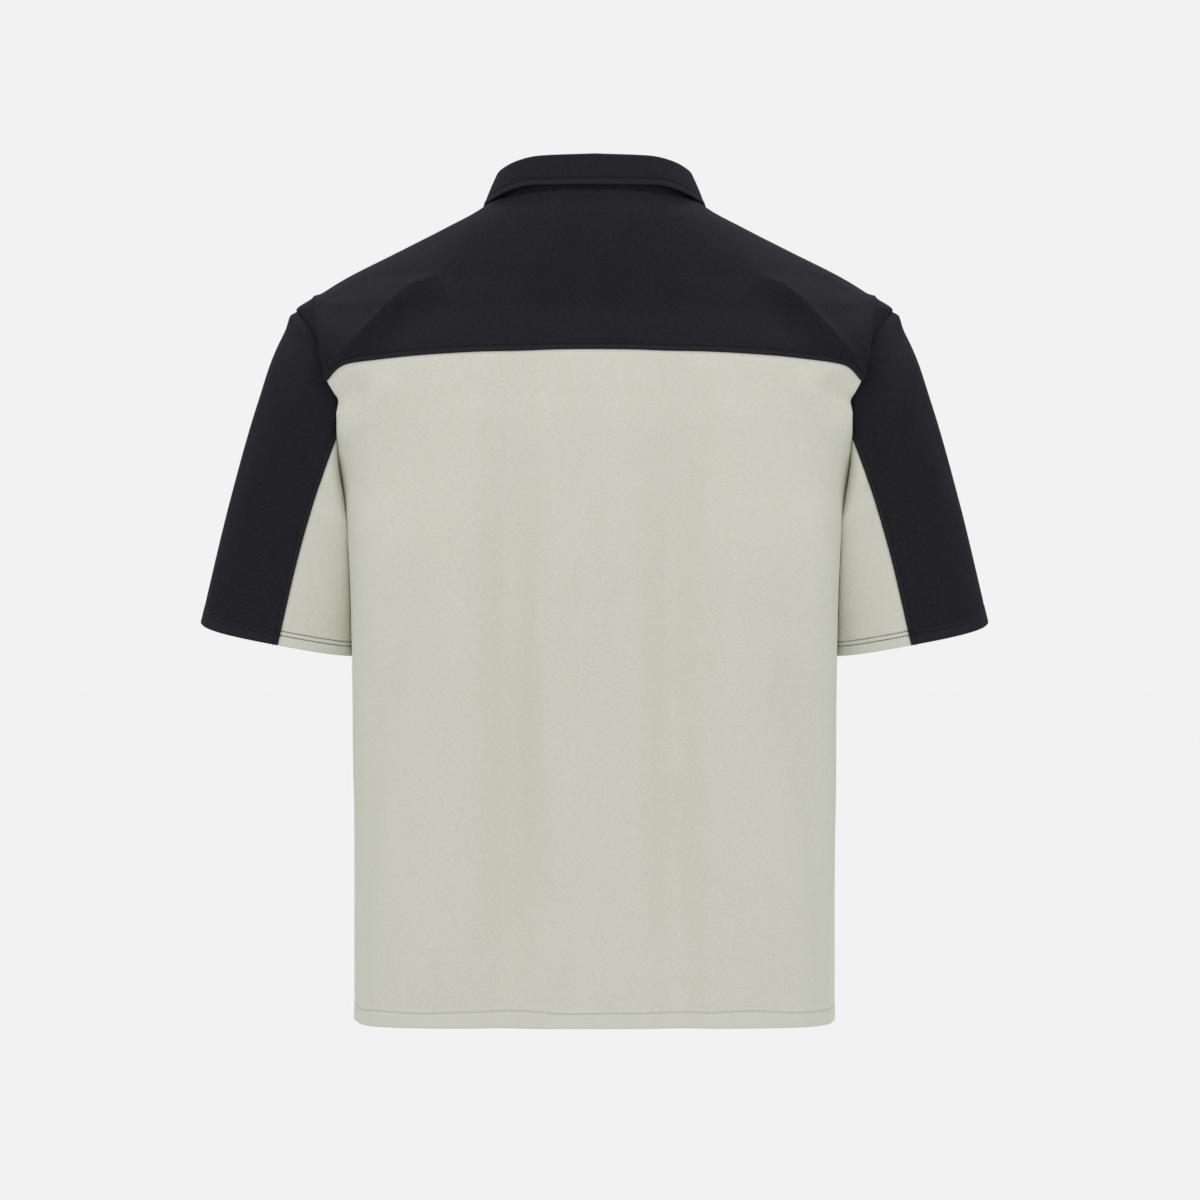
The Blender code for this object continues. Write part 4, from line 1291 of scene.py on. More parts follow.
@dataclass
class Placket:
    """The two strips of the front opening."""

    form: BodyForm
    dark: Finish
    lap: float = 1.5
    tail: float = 6.0
    close_row: float = 26.0  # a second place up from its foot with close rows
    wall: float = 1.2
    gap: float = 0.3
    stitch: float = 2.2

    def strip(self, name: str, half: float, out: float, tail: float, edge: Edge) -> Cloth:
        """A strip down the front's middle, moved out from the panel by a distance."""
        low = self.form.placket_end - tail
        length = self.form.neck_level - low
        levels = low + graded(length, (0.0, self.stitch, self.close_row), 0.8, 3.6)
        across = graded(2 * half, (0.0, 2 * half), 0.7, 2.6) - half
        shares = np.array([self.form.share_at_x(levels, abs(x)) * np.sign(x) for x in across]).T
        heights = np.repeat(levels[:, None], len(across), axis=1)
        facing = self.form.base_normal(Side.FRONT, shares, heights)
        points = self.form.point(Side.FRONT, shares, heights) + facing * out
        edges = {Border.LOW: edge, Border.START: edge, Border.END: edge}
        return Cloth(name, points, facing, self.dark, edges, self.wall)

    def make(self) -> list[Cloth]:
        """The strip under the slit and the one over it."""
        sewn = Edge(
            rounded=0.5,
            raised=0.2,
            turned=3.0,
            stitches=(self.stitch,),
            dent=0.3,
            pucker=0.05,
            boxed=True,
            seed=7.7,
        )
        half = self.form.placket_half
        out = self.wall + self.gap
        return [
            self.strip("placket_under", half - self.gap, 0.0, -self.gap, PLAIN),
            self.strip("placket_top", half + self.lap, out, self.tail, sewn),
        ]


@dataclass
class Buttons:
    """Three four-hole buttons down the placket."""

    tree: BVHTree
    finish: Finish
    levels: tuple[float, ...] = (-92.0, -148.0, -204.0)
    radius: float = 5.5
    thickness: float = 2.6
    hole_radius: float = 0.85
    hole_pitch: float = 3.0
    lift: float = 1.8
    steps: int = 56
    sharp_angle: float = 38.0
    slit_half: float = 7.0  # of the buttonhole's two long rows
    slit_apart: float = 0.75  # from each of them to its middle
    slit_sink: float = 0.25
    end_half: float = 1.2  # of the rows across its ends
    end_reach: float = 7.2
    wrap_half: float = 0.36
    wrap_lift: float = 1.75

    def profile(self) -> list[tuple[float, float]]:
        """The button's half section, from its flat back over the rim to the dished middle."""
        rim = self.radius
        top = self.thickness
        return [
            (0.0, 0.0),
            (rim - 0.8, 0.0),
            (rim - 0.25, 0.2),
            (rim, 0.7),
            (rim, 1.6),
            (rim - 0.2, 2.2),
            (rim - 0.6, top - 0.08),
            (rim - 1.0, top),
            (rim - 1.4, top - 0.15),
            (rim - 1.9, 1.9),
            (rim - 2.5, 1.72),
            (0.0, 1.7),
        ]

    def blank(self) -> bpy.types.Mesh:
        """The turned button with its four holes drilled."""
        turned = bmesh.new()
        verts = [turned.verts.new((r, 0, z)) for r, z in self.profile()]
        edges = [turned.edges.new(pair) for pair in zip(verts, verts[1:])]
        bmesh.ops.spin(
            turned,
            geom=verts + edges,
            cent=(0, 0, 0),
            axis=(0, 0, 1),
            angle=2 * math.pi,
            steps=self.steps,
            use_merge=True,
        )
        bmesh.ops.remove_doubles(turned, verts=turned.verts, dist=1e-3)
        bmesh.ops.recalc_face_normals(turned, faces=turned.faces)
        body = bpy.data.meshes.new("button_blank")
        turned.to_mesh(body)
        turned.free()
        drill = bmesh.new()
        for x in (-0.5, 0.5):
            for y in (-0.5, 0.5):
                bmesh.ops.create_cone(
                    drill,
                    cap_ends=True,
                    segments=18,
                    radius1=self.hole_radius,
                    radius2=self.hole_radius,
                    depth=4 * self.thickness,
                    matrix=Matrix.Translation(Vector((x, y, 0)) * self.hole_pitch),
                )
        bits = bpy.data.meshes.new("button_drill")
        drill.to_mesh(bits)
        drill.free()
        cutter, holder = placed(bits), placed(body)
        cut = holder.modifiers.new("holes", "BOOLEAN")
        cut.operation = "DIFFERENCE"
        cut.object = cutter
        graph = bpy.context.evaluated_depsgraph_get()
        made = bpy.data.meshes.new_from_object(holder.evaluated_get(graph))
        for spare in (cutter, holder):
            bpy.data.objects.remove(spare, do_unlink=True)
        return made

    def seats(self) -> list[tuple[Array, Array]]:
        """Where each button's back lies, and the way it faces."""
        found = []
        for level in self.levels:
            start = Vector(AHEAD * 400 + UP * level)
            place, normal, _, _ = self.tree.ray_cast(start, Vector(-AHEAD))
            if normal.y < 0:
                normal = -normal
            found.append((np.array(place + normal * self.lift), np.array(normal)))
        return found

    def threads(self) -> tuple[list[Run], list[Run]]:
        """The rows of thread round each buttonhole, and those that hold each button."""
        holes = []
        wraps = []
        for place, normal in self.seats():
            up = unit(np.cross(normal, RIGHT))
            across = unit(np.cross(up, normal))
            base = place - normal * self.slit_sink
            for hand in (-1, 1):
                holes.append(bar(base + across * hand * self.slit_apart, up, self.slit_half, normal))
                holes.append(bar(base + up * hand * self.end_reach, across, self.end_half, normal))
                seat = place + normal * self.wrap_lift + up * hand * self.hole_pitch / 2
                wraps.append(bar(seat, up, self.wrap_half, normal))
        return holes, wraps

    def make(self) -> list[Piece]:
        """The buttons, each lying on the cloth."""
        blank = self.blank()
        pieces = []
        for number, (place, normal) in enumerate(self.seats(), start=1):
            turn = Vector(normal).to_track_quat("Z", "Y").to_matrix().to_4x4()
            mesh = blank.copy()
            mesh.name = f"shirt_button_{number}"
            scale = Matrix.Scale(METRES, 4)
            mesh.transform(scale @ Matrix.Translation(Vector(place)) @ turn)
            mesh.materials.clear()
            mesh.materials.append(self.finish)
            mesh.shade_smooth()
            mesh.set_sharp_from_angle(angle=math.radians(self.sharp_angle))
            pieces.append(placed(mesh))
        return pieces


# ---------------------------------------------------------------- stitches


@dataclass(frozen=True)
class Thread:
    """How a run of stitches is sewn, in millimetres; turn is 90 for stitches set crosswise."""

    pitch: float = 2.9
    length: float = 2.3
    width: float = 0.42
    rise: float = 0.22
    turn: float = 0.0
    lift: float = 0.2  # how far it stands off the cloth, as a share of its width


TOPSTITCH = Thread()
NEEDLE_PAIR = Thread(pitch=2.7, length=2.2, width=0.5, rise=0.25)
SATIN = Thread(pitch=0.42, length=1.3, width=0.4, rise=0.3, turn=90.0)
BUTTON_WRAP = Thread(pitch=0.34, length=3.4, width=0.42, rise=0.6, turn=90.0)


class NodeBench:
    """A node tree, with short ways to add to it."""

    tree: bpy.types.NodeTree

    def add(self, kind: str, links: dict[str, object], **settings: object) -> bpy.types.Node:
        """A node with its settings, its inputs linked or filled in.

        Args:
            kind: The node's type.
            links: A socket or a value for each input, by its name or by # and its number.
            settings: The node's own settings.

        Returns:
            The node.
        """
        node = self.tree.nodes.new(kind)
        for name, value in settings.items():
            setattr(node, name, value)
        for name, value in links.items():
            self.give(node.inputs[int(name[1:]) if name.startswith("#") else name], value)
        return node

    def give(self, socket: Socket, value: object) -> None:
        """Links an input to another socket, or fills it in."""
        if isinstance(value, Socket):
            self.tree.links.new(value, socket)
        else:
            socket.default_value = value

    def maths(self, operation: str, *values: object) -> Socket:
        """The result of a sum."""
        links = {f"#{k}": value for k, value in enumerate(values)}
        return self.add("ShaderNodeMath", links, operation=operation).outputs[0]


class Stitcher(NodeBench):
    """Sews stitches along lines of cloth with one Geometry Nodes tree."""

    seed: int = 11
    unevenness: float = 0.06  # how far a stitch is turned from its line, in radians

    def __init__(self) -> None:
        """Builds the tree, with a named input for each size of the thread."""
        self.tree = bpy.data.node_groups.new("stitches", "GeometryNodeTree")
        self.sockets: dict[str, str] = {}
        face = self.tree.interface
        face.new_socket("Lines", in_out="INPUT", socket_type="NodeSocketGeometry")
        for name in ("Pitch", "Length", "Width", "Rise", "Turn"):
            made = face.new_socket(name, in_out="INPUT", socket_type="NodeSocketFloat")
            self.sockets[name] = made.identifier
        for name, kind in (("Seed", "NodeSocketInt"), ("Thread", "NodeSocketMaterial")):
            made = face.new_socket(name, in_out="INPUT", socket_type=kind)
            self.sockets[name] = made.identifier
        face.new_socket("Stitches", in_out="OUTPUT", socket_type="NodeSocketGeometry")
        self.wire()

    def wire(self) -> None:
        """Lays one arched thread at every pitch along the lines, lying on the cloth."""
        given = self.add("NodeGroupInput", {}).outputs
        lines = self.add("GeometryNodeMeshToCurve", {"Mesh": given["Lines"]}).outputs[0]
        spaced = self.add(
            "GeometryNodeResampleCurve", {"Curve": lines, "Length": given["Pitch"]}, mode="LENGTH"
        ).outputs[0]
        half = self.maths("MULTIPLY", given["Length"], 0.5)
        sink = self.maths("MULTIPLY", given["Width"], -0.45)
        ends = []
        for sign in (-1.0, 1.0):
            x = self.maths("MULTIPLY", half, sign)
            ends.append(self.add("ShaderNodeCombineXYZ", {"X": x, "Z": sink}).outputs[0])
        top = self.maths("MULTIPLY", given["Rise"], 2.2)
        middle = self.add("ShaderNodeCombineXYZ", {"Z": top}).outputs[0]
        arch = self.add(
            "GeometryNodeCurveQuadraticBezier",
            {"Resolution": 5, "Start": ends[0], "Middle": middle, "End": ends[1]},
        ).outputs[0]
        radius = self.maths("MULTIPLY", given["Width"], 0.5)
        round_it = self.add("GeometryNodeCurvePrimitiveCircle", {"Resolution": 6, "Radius": radius})
        one = self.add(
            "GeometryNodeCurveToMesh",
            {"Curve": arch, "Profile Curve": round_it.outputs[0], "Fill Caps": True},
        ).outputs[0]
        tangent = self.add("GeometryNodeInputTangent", {}).outputs[0]
        facing = self.add(
            "GeometryNodeInputNamedAttribute", {"Name": "facing"}, data_type="FLOAT_VECTOR"
        ).outputs[0]
        lying = self.add(
            "FunctionNodeAxesToRotation",
            {"Primary Axis": facing, "Secondary Axis": tangent},
            primary_axis="Z",
            secondary_axis="X",
        ).outputs[0]
        uneven = self.add(
            "FunctionNodeRandomValue",
            {"#2": -self.unevenness, "#3": self.unevenness, "Seed": given["Seed"]},
            data_type="FLOAT",
        ).outputs[1]
        angle = self.maths("ADD", self.maths("RADIANS", given["Turn"]), uneven)
        turned = self.add(
            "FunctionNodeAxisAngleToRotation", {"Axis": (0.0, 0.0, 1.0), "Angle": angle}
        ).outputs[0]
        rotation = self.add(
            "FunctionNodeRotateRotation",
            {"Rotation": lying, "Rotate By": turned},
            rotation_space="LOCAL",
        ).outputs[0]
        sewn = self.add(
            "GeometryNodeInstanceOnPoints",
            {"Points": spaced, "Instance": one, "Rotation": rotation},
        ).outputs[0]
        real = self.add("GeometryNodeRealizeInstances", {"Geometry": sewn}).outputs[0]
        even = self.add("GeometryNodeSetShadeSmooth", {"Geometry": real}).outputs[0]
        dyed = self.add(
            "GeometryNodeSetMaterial", {"Geometry": even, "Material": given["Thread"]}
        ).outputs[0]
        self.add("NodeGroupOutput", {"Stitches": dyed})

    def sew(self, name: str, lines: list[Run], thread: Thread, finish: Finish) -> Piece:
        """Sews stitches along lines.

        Args:
            name: The piece's name.
            lines: Points in millimetres and the way the cloth faces, for each line.
            thread: How it is sewn.
            finish: The thread's material.

        Returns:
            One plain mesh of every stitch.
        """
        points = np.concatenate([line for line, _ in lines]) * METRES
        facings = np.concatenate([facing for _, facing in lines])
        edges = []
        first = 0
        for line, _ in lines:
            edges += [(first + k, first + k + 1) for k in range(len(line) - 1)]
            first += len(line)
        guide = bpy.data.meshes.new(f"{name}_line")
        guide.from_pydata(points.tolist(), edges, [])
        layer = guide.attributes.new("facing", "FLOAT_VECTOR", "POINT")
        layer.data.foreach_set("vector", facings.astype(np.float32).ravel())
        holder = placed(guide)
        sewing = holder.modifiers.new("stitches", "NODES")
        sewing.node_group = self.tree
        sizes = {
            "Pitch": thread.pitch * METRES,
            "Length": thread.length * METRES,
            "Width": thread.width * METRES,
            "Rise": thread.rise * METRES,
            "Turn": thread.turn,
            "Seed": self.seed,
            "Thread": finish,
        }
        for key, value in sizes.items():
            sewing[self.sockets[key]] = value
        graph = bpy.context.evaluated_depsgraph_get()
        mesh = bpy.data.meshes.new_from_object(holder.evaluated_get(graph))
        bpy.data.objects.remove(holder, do_unlink=True)
        mesh.name = name
        return placed(mesh)


# ---------------------------------------------------------------- finishes

PAINTED_SHADE: Colour = (0.0, 0.0, 0.0)  # the tint that painted shade mixes in, along the stitch grooves and towards the hem


class PaintBench(NodeBench):
    """A material's node tree, with what its finishes share."""

    def __init__(self, name: str) -> None:
        """Starts a material on its own shader."""
        self.material = bpy.data.materials.new(name)
        self.material.use_nodes = True
        self.tree = self.material.node_tree
        self.shader = self.tree.nodes["Principled BSDF"]

    def place(self) -> Socket:
        """A point's place on the object, in metres."""
        return self.add("ShaderNodeTexCoord", {}).outputs["Object"]

    def mark(self, name: str) -> Socket:
        """A value that the cloth's points carry."""
        return self.add("ShaderNodeAttribute", {}, attribute_name=name).outputs["Fac"]

    def noise(self, at: Socket, scale: float, detail: float) -> Socket:
        """Noise from about 0 to 1 at a scale per metre."""
        links = {"Vector": at, "Scale": scale, "Detail": detail, "Roughness": 0.55}
        return self.add("ShaderNodeTexNoise", links).outputs["Fac"]

    def stretched(self, at: Socket, scale: tuple[float, float, float]) -> Socket:
        """Places scaled apart along each axis."""
        return self.add("ShaderNodeMapping", {"Vector": at, "Scale": scale}).outputs[0]

    def bump(
        self, height: Socket, strength: float, distance: float, under: Socket | None = None
    ) -> Socket:
        """A bump from a height, over another if there is one."""
        links = {"Height": height, "Strength": strength, "Distance": distance}
        if under is not None:
            links["Normal"] = under
        return self.add("ShaderNodeBump", links).outputs[0]

    def tinted(self, share: Socket, colour: object, tint: Colour) -> Socket:
        """A colour with a share of it replaced by a tint."""
        links = {"#0": share, "#6": colour, "#7": (*tint, 1.0)}
        return self.add("ShaderNodeMix", links, data_type="RGBA").outputs[2]

    def mixed(self, share: Socket, low: Colour, high: Colour) -> Socket:
        """A colour between two, by a share."""
        return self.tinted(share, (*low, 1.0), high)

    def fill(self, **values: object) -> None:
        """Sets or links the shader's own sockets; an underscore stands for a space."""
        for name, value in values.items():
            self.give(self.shader.inputs[name.replace("_", " ")], value)


@dataclass(frozen=True)
class KnitFinish:
    """A fine, smooth, matt knit: wales run up the cloth, courses across it."""

    name: str
    low: Colour  # between the loops
    high: Colour  # on the loops
    doubled: Colour  # where the cloth is folded double
    sheen: float
    sheen_tint: Colour
    specular: float
    painted_groove_shade: float  # painted shade: how much darker the cloth is painted along its stitches, as if their grooves were shaded
    fall: float = 0.0  # painted shade: how much darker it is painted for each metre down, as if the light fell off towards the hem
    painted_falloff_from: float = -0.3
    wale: float = 0.00078
    course: float = 0.00062
    slant: float = 1.1
    fuzz: float = 2600.0  # this and the next four are scales of noise per metre
    slub: float = 760.0
    mottle: float = 55.0
    wave: float = 34.0
    cloud: float = 9.0
    grain: float = 1.7  # how strongly the slubs show
    tone: float = 0.3  # how strongly the knit, fuzz, mottle and cloud show
    relief: float = 0.3

    def build(self) -> Finish:
        """Makes the material, reading the cloth's own sizes in metres."""
        bench = PaintBench(self.name)
        solid = bench.place()
        knit = self.loops(bench)
        fuzz = bench.noise(solid, self.fuzz, 2.0)
        mottle = bench.noise(bench.stretched(solid, (1.0, 1.0, 0.35)), self.mottle, 4.0)
        wave = bench.noise(bench.stretched(solid, (1.0, 1.0, 0.3)), self.wave, 3.0)
        slub = bench.noise(solid, self.slub, 1.0)
        shade = bench.maths("MULTIPLY", fuzz, self.tone)
        shade = bench.maths("MULTIPLY_ADD", knit, self.tone, shade)
        shade = bench.maths("MULTIPLY_ADD", slub, self.grain, shade)
        shade = bench.maths("MULTIPLY_ADD", mottle, self.tone, shade)
        shade = bench.maths("MULTIPLY_ADD", bench.noise(solid, self.cloud, 3.0), self.tone, shade)
        shade = bench.maths("SUBTRACT", shade, 0.1 + self.grain / 2)
        colour = bench.mixed(bench.maths("MAXIMUM", shade, 0.0), self.low, self.high)
        layers = bench.maths("MULTIPLY", bench.mark("doubled"), 0.5)
        colour = bench.tinted(layers, colour, self.doubled)
        # Painted shade along the stitch lines, standing in for the shade in their pressed grooves.
        groove = bench.maths("MULTIPLY", bench.mark("pressed"), self.painted_groove_shade)
        colour = bench.tinted(groove, colour, PAINTED_SHADE)
        # Painted shade: darker for each metre below a height, standing in for light that falls off towards
        # the hem.
        height = bench.add("ShaderNodeSeparateXYZ", {"Vector": solid}).outputs["Z"]
        below = bench.maths("MAXIMUM", bench.maths("SUBTRACT", self.painted_falloff_from, height), 0.0)
        colour = bench.tinted(bench.maths("MULTIPLY", below, self.fall), colour, PAINTED_SHADE)
        normal = bench.bump(wave, 0.16, 0.0011)
        normal = bench.bump(mottle, 0.1, 0.0003, normal)
        normal = bench.bump(knit, self.relief, 0.00014, normal)
        normal = bench.bump(fuzz, 0.12, 0.0001, normal)
        bench.fill(
            Base_Color=colour,
            Roughness=bench.maths("MULTIPLY_ADD", fuzz, 0.1, 0.86),
            Normal=normal,
            Sheen_Weight=self.sheen,
            Sheen_Roughness=0.45,
            Sheen_Tint=(*self.sheen_tint, 1.0),
            Specular_IOR_Level=self.specular,
        )
        return bench.material

    def loops(self, bench: PaintBench) -> Socket:
        """The knit's own height, in slanting loops up each wale."""
        sizes = bench.add("ShaderNodeUVMap", {}, uv_map="cloth").outputs[0]
        place = bench.add("ShaderNodeSeparateXYZ", {"Vector": sizes}).outputs
        wale = bench.maths("DIVIDE", place["X"], self.wale)
        folded = bench.maths("ABSOLUTE", bench.maths("SUBTRACT", bench.maths("FRACT", wale), 0.5))
        course = bench.maths("DIVIDE", place["Y"], self.course)
        slant = bench.maths("MULTIPLY_ADD", folded, self.slant, course)
        loops = bench.maths("SINE", bench.maths("MULTIPLY", slant, 2 * math.pi))
        rib = bench.maths("COSINE", bench.maths("MULTIPLY", wale, 4 * math.pi))
        both = bench.maths("MULTIPLY_ADD", rib, -0.5, loops)
        return bench.maths("MULTIPLY_ADD", both, 0.28, 0.5)


@dataclass(frozen=True)
class ThreadFinish:
    """Spun sewing thread, a little glossier than the cloth."""

    name: str
    low: Colour
    high: Colour

    def build(self) -> Finish:
        """Makes the material."""
        bench = PaintBench(self.name)
        strands = bench.noise(bench.place(), 4200.0, 2.0)
        bench.fill(
            Base_Color=bench.mixed(strands, self.low, self.high),
            Roughness=bench.maths("MULTIPLY_ADD", strands, 0.2, 0.55),
            Normal=bench.bump(strands, 0.3, 0.00012),
            Specular_IOR_Level=0.25,
            Sheen_Weight=0.08,
        )
        return bench.material


@dataclass(frozen=True)
class ButtonFinish:
    """Moulded button plastic, polished, with a faint cloudiness and fine scuffs."""

    name: str
    low: Colour
    high: Colour

    def build(self) -> Finish:
        """Makes the material."""
        bench = PaintBench(self.name)
        solid = bench.place()
        cloud = bench.noise(solid, 260.0, 3.0)
        scuffs = bench.noise(bench.stretched(solid, (1.0, 1.0, 5.0)), 1500.0, 3.0)
        bench.fill(
            Base_Color=bench.mixed(cloud, self.low, self.high),
            Roughness=bench.maths("MULTIPLY_ADD", scuffs, 0.18, 0.22),
            Normal=bench.bump(scuffs, 0.05, 0.00006),
            Specular_IOR_Level=0.5,
        )
        return bench.material


# ---------------------------------------------------------------- studio


@dataclass(frozen=True)
class Lamp:
    """A far, soft lamp; azimuth 0 shines from behind the camera towards +Y."""

    name: str
    azimuth: float
    height: float
    strength: float
    softness: float

    def build(self) -> None:
        """Hangs the lamp in the scene."""
        data = bpy.data.lights.new(self.name, "SUN")
        data.energy = self.strength
        data.angle = math.radians(self.softness)
        made = bpy.data.objects.new(self.name, data)
        turn, up = math.radians(self.azimuth), math.radians(self.height)
        way = Vector((math.sin(turn) * math.cos(up), -math.cos(turn) * math.cos(up), math.sin(up)))
        made.rotation_euler = way.to_track_quat("Z", "Y").to_euler()
        bpy.context.scene.collection.objects.link(made)


@dataclass
class Studio:
    """A plain pale room: an even sky, soft lamps, a pale floor and the camera."""

    air: Colour = (0.888, 0.888, 0.888)
    fill_light: float = 0.74
    floor_level: float = -1.45
    floor_colour: float = 0.549
    floor_radius: float = 60.0
    camera_distance: float = 4.85
    camera_level: float = -0.346
    camera_side: float = 0.0048
    view_width: float = 1.056
    sensor: float = 36.0
    lamps: tuple[Lamp, ...] = (
        Lamp("key", azimuth=-14.0, height=66.0, strength=0.85, softness=50.0),
        Lamp("side", azimuth=40.0, height=36.0, strength=0.14, softness=60.0),
        Lamp("far", azimuth=172.0, height=70.0, strength=2.0, softness=40.0),
    )

    def build(self) -> None:
        """Makes the room."""
        scene = bpy.context.scene
        scene.view_settings.view_transform = "Standard"
        scene.view_settings.look = "None"
        self.sky(scene)
        for lamp in self.lamps:
            lamp.build()
        self.floor()
        self.camera(scene)

    def sky(self, scene: bpy.types.Scene) -> None:
        """An even sky, which lights the cloth a little less than it shows."""
        world = bpy.data.worlds.new("studio_air")
        world.use_nodes = True
        tree = world.node_tree
        shown = tree.nodes["Background"]
        shown.inputs["Color"].default_value = (*self.air, 1.0)
        light = tree.nodes.new("ShaderNodeBackground")
        light.inputs["Color"].default_value = (*self.air, 1.0)
        light.inputs["Strength"].default_value = self.fill_light / self.air[0]
        path = tree.nodes.new("ShaderNodeLightPath")
        mix = tree.nodes.new("ShaderNodeMixShader")
        tree.links.new(path.outputs["Is Camera Ray"], mix.inputs[0])
        tree.links.new(light.outputs[0], mix.inputs[1])
        tree.links.new(shown.outputs[0], mix.inputs[2])
        tree.links.new(mix.outputs[0], tree.nodes["World Output"].inputs["Surface"])
        scene.world = world

    def floor(self) -> None:
        """A wide pale floor, well below the shirt."""
        bench = PaintBench("floor_paint")
        tone = (*(self.floor_colour,) * 3, 1.0)
        bench.fill(Base_Color=tone, Roughness=0.9, Specular_IOR_Level=0.0)
        shape = bmesh.new()
        bmesh.ops.create_circle(shape, cap_ends=True, segments=96, radius=self.floor_radius)
        mesh = bpy.data.meshes.new("floor")
        shape.to_mesh(mesh)
        shape.free()
        mesh.transform(Matrix.Translation((0, 0, self.floor_level)))
        mesh.materials.append(bench.material)
        placed(mesh)

    def camera(self, scene: bpy.types.Scene) -> None:
        """A long lens, level with the middle of the shirt's back."""
        data = bpy.data.cameras.new("camera")
        data.sensor_width = self.sensor
        data.lens = self.sensor * self.camera_distance / self.view_width
        data.clip_start = 0.1
        data.clip_end = 200.0
        made = bpy.data.objects.new("camera", data)
        made.location = (self.camera_side, -self.camera_distance, self.camera_level)
        made.rotation_euler = (math.pi / 2, 0, 0)
        scene.collection.objects.link(made)
        scene.camera = made


# ---------------------------------------------------------------- the shirt


@dataclass
class Finishes:
    """The shirt's materials."""

    dark: Finish
    pale: Finish
    dark_thread: Finish
    pale_thread: Finish
    button: Finish


def make_finishes() -> Finishes:
    """Makes every material of the shirt."""
    return Finishes(
        dark=KnitFinish(
            name="dark_knit",
            low=(0.0117, 0.0113, 0.0152),
            high=(0.0222, 0.0216, 0.0267),
            doubled=(0.0248, 0.0243, 0.0288),
            sheen=0.0,
            sheen_tint=(0.8, 0.8, 0.9),
            specular=0.05,
            painted_groove_shade=0.4,
        ).build(),
        pale=KnitFinish(
            name="pale_knit",
            low=(0.584, 0.594, 0.502),
            high=(0.680, 0.685, 0.600),
            doubled=(0.632, 0.640, 0.556),
            sheen=0.05,
            sheen_tint=(1.0, 1.0, 0.95),
            specular=0.15,
            painted_groove_shade=0.12,
            # painted shade that darkens the lower cloth, as if the light fell off there
            fall=0.065,
        ).build(),
        dark_thread=ThreadFinish("dark_thread", (0.004, 0.004, 0.006), (0.011, 0.011, 0.014)).build(),
        pale_thread=ThreadFinish("pale_thread", (0.52, 0.53, 0.44), (0.64, 0.65, 0.56)).build(),
        button=ButtonFinish("button_plastic", (0.008, 0.008, 0.010), (0.022, 0.022, 0.025)).build(),
    )


@dataclass(frozen=True)
class Cut:
    """The flat size of a cloth piece, in metres and square metres, and what it hangs from.

    Hems and seam allowances are left out, as they lie under what shows.
    """

    width: float
    length: float
    area: float
    hangs_from: tuple[str, ...] = ()


FRONT_YOKES = ("front_yoke_left", "front_yoke_right")
YOKES = ("back_yoke", *FRONT_YOKES)


SEARCH_FROM = -320.0  # nothing below this rests on the body
BARTACK_INSETS = (1.7, 2.9)
BARTACK_LIFT = 0.12
BARTACK_PAST = 0.3  # how far it runs past the cuff's stitches


def search_tree(form: BodyForm) -> BVHTree:
    """A search tree over the whole body's cloth, for what rests on it."""
    rows, columns = 160, 141
    across = np.linspace(-1, 1, columns)
    shares, levels = np.meshgrid(across, np.linspace(SEARCH_FROM, form.neck_level, rows))
    one = squares(first_corners(rows, columns).ravel(), columns)
    points: list[Vector] = []
    faces: list[list[int]] = []
    for side in Side:
        faces += (one + len(points)).tolist()
        points += [Vector(p) for p in form.point(side, shares, levels).reshape(-1, 3)]
    return BVHTree.FromPolygons(points, faces)


def bartack(sleeve: Cloth, border: Border) -> list[Run]:
    """Two short rows that hold a sleeve's seam flat between its cuff's stitches.

    Args:
        sleeve: The sleeve's upper piece.
        border: The seam it is beside.

    Returns:
        The rows' points and the way the cloth faces at each.
    """
    low, high = sleeve.edges[Border.HIGH].stitches
    half = (high - low) / 2 + BARTACK_PAST
    rows = []
    for inset in BARTACK_INSETS:
        points, facings = sleeve.stitch_line(border, inset, BARTACK_LIFT)
        from_cuff = run_along(points[::-1])
        i = len(points) - 1 - int(np.searchsorted(from_cuff, (low + high) / 2))
        rows.append(bar(points[i], unit(points[i + 1] - points[i - 1]), half, facings[i]))
    return rows


@dataclass(frozen=True)
class Sewn:
    """A piece of stitches, the cloth it is on and the slot of its finish."""

    piece: Piece
    on: str
    slot: str


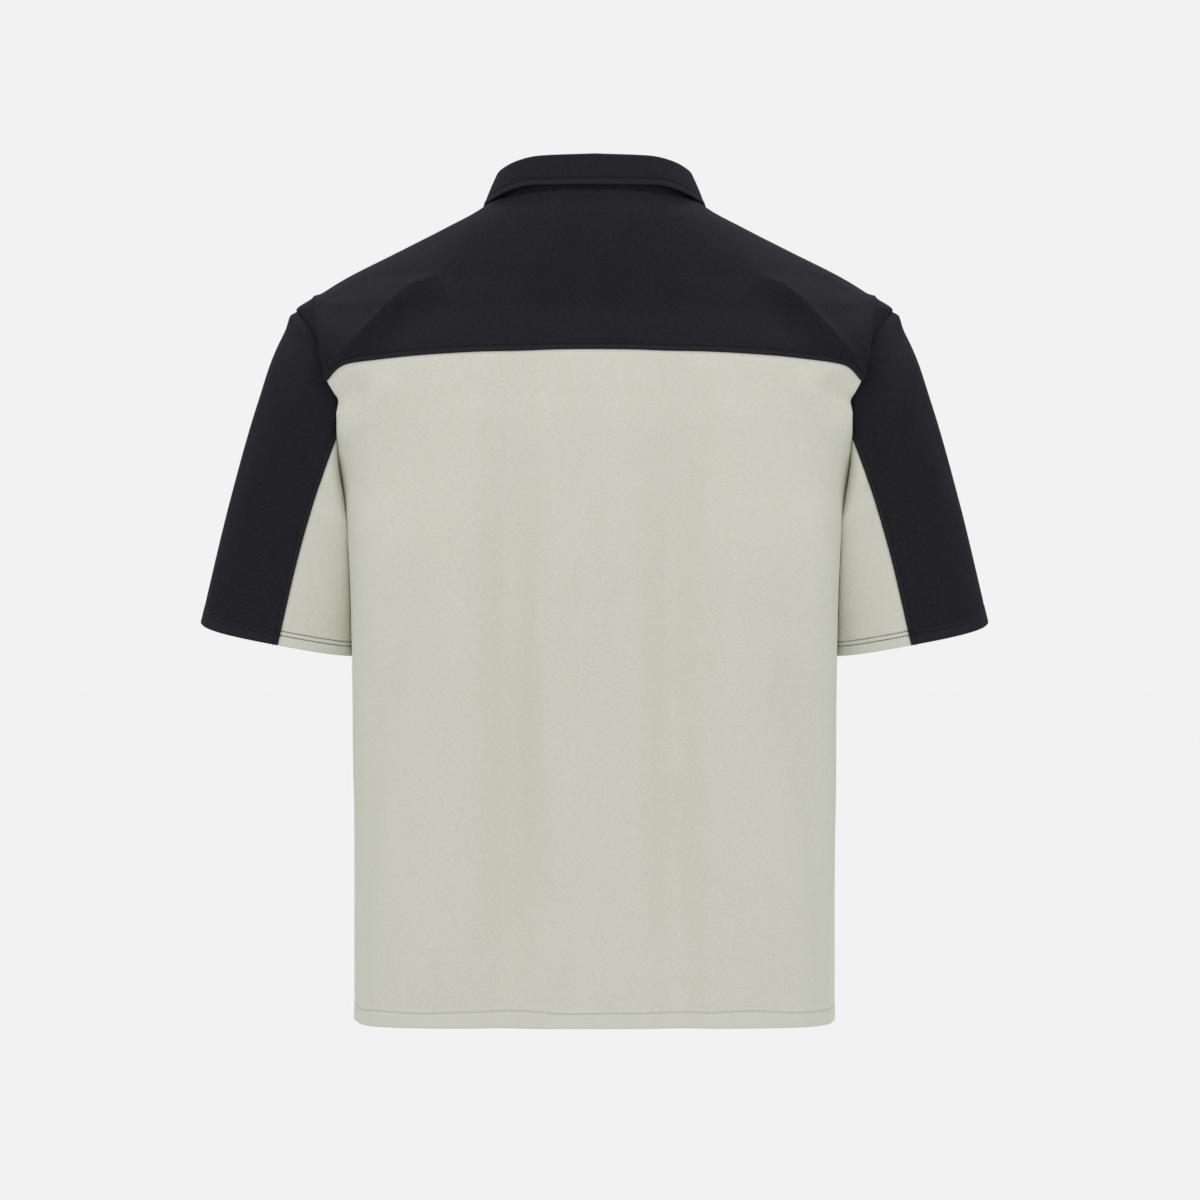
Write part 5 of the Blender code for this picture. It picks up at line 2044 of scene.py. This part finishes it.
def sew_all(cloths: dict[str, Cloth], buttons: Buttons, finishes: Finishes) -> list[Sewn]:
    """Sews every visible line of stitches.

    Args:
        cloths: The cloth pieces by name.
        buttons: The buttons, whose holes are wrapped with thread.
        finishes: The shirt's materials.

    Returns:
        The stitch pieces.
    """
    stitcher = Stitcher()
    sewn: list[Sewn] = []

    def sew(name: str, on: str, lines: list[Run], thread: Thread) -> None:
        """Sews lines on a cloth in its own shade, but pale sleeves in the dark one."""
        pale = on.endswith("_panel")
        finish = finishes.pale_thread if pale else finishes.dark_thread
        piece = stitcher.sew(name, lines, thread, finish)
        sewn.append(Sewn(piece, on, PALE_SLOT if pale else DARK_SLOT))

    def along(name: str, borders: tuple[Border, ...], thread: Thread = TOPSTITCH) -> None:
        """Sews every stitch line of some of a cloth's borders."""
        cloth = cloths[name]
        lines = [
            cloth.stitch_line(border, stitch, thread.width * thread.lift)
            for border in borders
            for stitch in cloth.edges[border].stitches
        ]
        sew(f"{name}_stitches", name, lines, thread)

    ends = (Border.START, Border.END)
    for name in ("back_panel", "front_panel", *YOKES):
        along(name, (Border.LOW,))
    for label in ("left", "right"):
        upper = f"sleeve_upper_{label}"
        along(upper, (Border.HIGH, *ends), NEEDLE_PAIR)
        along(f"sleeve_under_{label}", (Border.HIGH,), NEEDLE_PAIR)
        tacks = [tack for border in ends for tack in bartack(cloths[upper], border)]
        sew(f"bartacks_{label}", upper, tacks, SATIN)
    along("collar_leaf", (Border.HIGH, *ends))
    along("collar_stand", ends)
    along("placket_top", (Border.LOW, *ends))
    holes, wraps = buttons.threads()
    sew("buttonholes", "placket_top", holes, SATIN)
    sew("button_threads", "placket_top", wraps, BUTTON_WRAP)
    return sewn


def main() -> None:
    """Builds the shirt's pieces in order, rides them on the body and sets the room."""
    finishes = make_finishes()
    form = BodyForm()
    tree = search_tree(form)
    body = Body(form, finishes.pale, finishes.dark)
    collar = Collar(form, tree, finishes.dark)
    made = [body.panel(side) for side in Side]
    for side in Side:
        made += body.yokes(side)
    made += Sleeves(form, finishes.pale, finishes.dark).make()
    made += [collar.stand(), collar.leaf()]
    made += Placket(form, finishes.dark).make()
    cloths = {cloth.name: cloth for cloth in made}
    buttons = Buttons(tree, finishes.button)
    sewn = sew_all(cloths, buttons, finishes)
    discs = buttons.make()
    for name, cloth in cloths.items():
        own = [stitches.piece for stitches in sewn if stitches.on == name]
        if name == "placket_top":
            own += discs
        cloth.name = f"{name}_cloth"
        piece = cloth.build()
        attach(piece, BODY)
        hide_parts(name)
        area = sum(p.area for p in piece.data.polygons) / 2
        log.info("%s: %d faces, %.4f m2 of cloth", piece.name, len(piece.data.polygons), area)
    for stitches in sewn:
        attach(stitches.piece, BODY)
        log.info("%s: %d faces", stitches.piece.name, len(stitches.piece.data.polygons))
    for number, button in enumerate(discs, start=1):
        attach(button, BODY)
        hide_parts(f"button_{number}")
        log.info("%s", button.name)
    Studio().build()


if __name__ == "__main__":
    logging.basicConfig(level=logging.INFO, format="%(name)s: %(message)s")
    main()
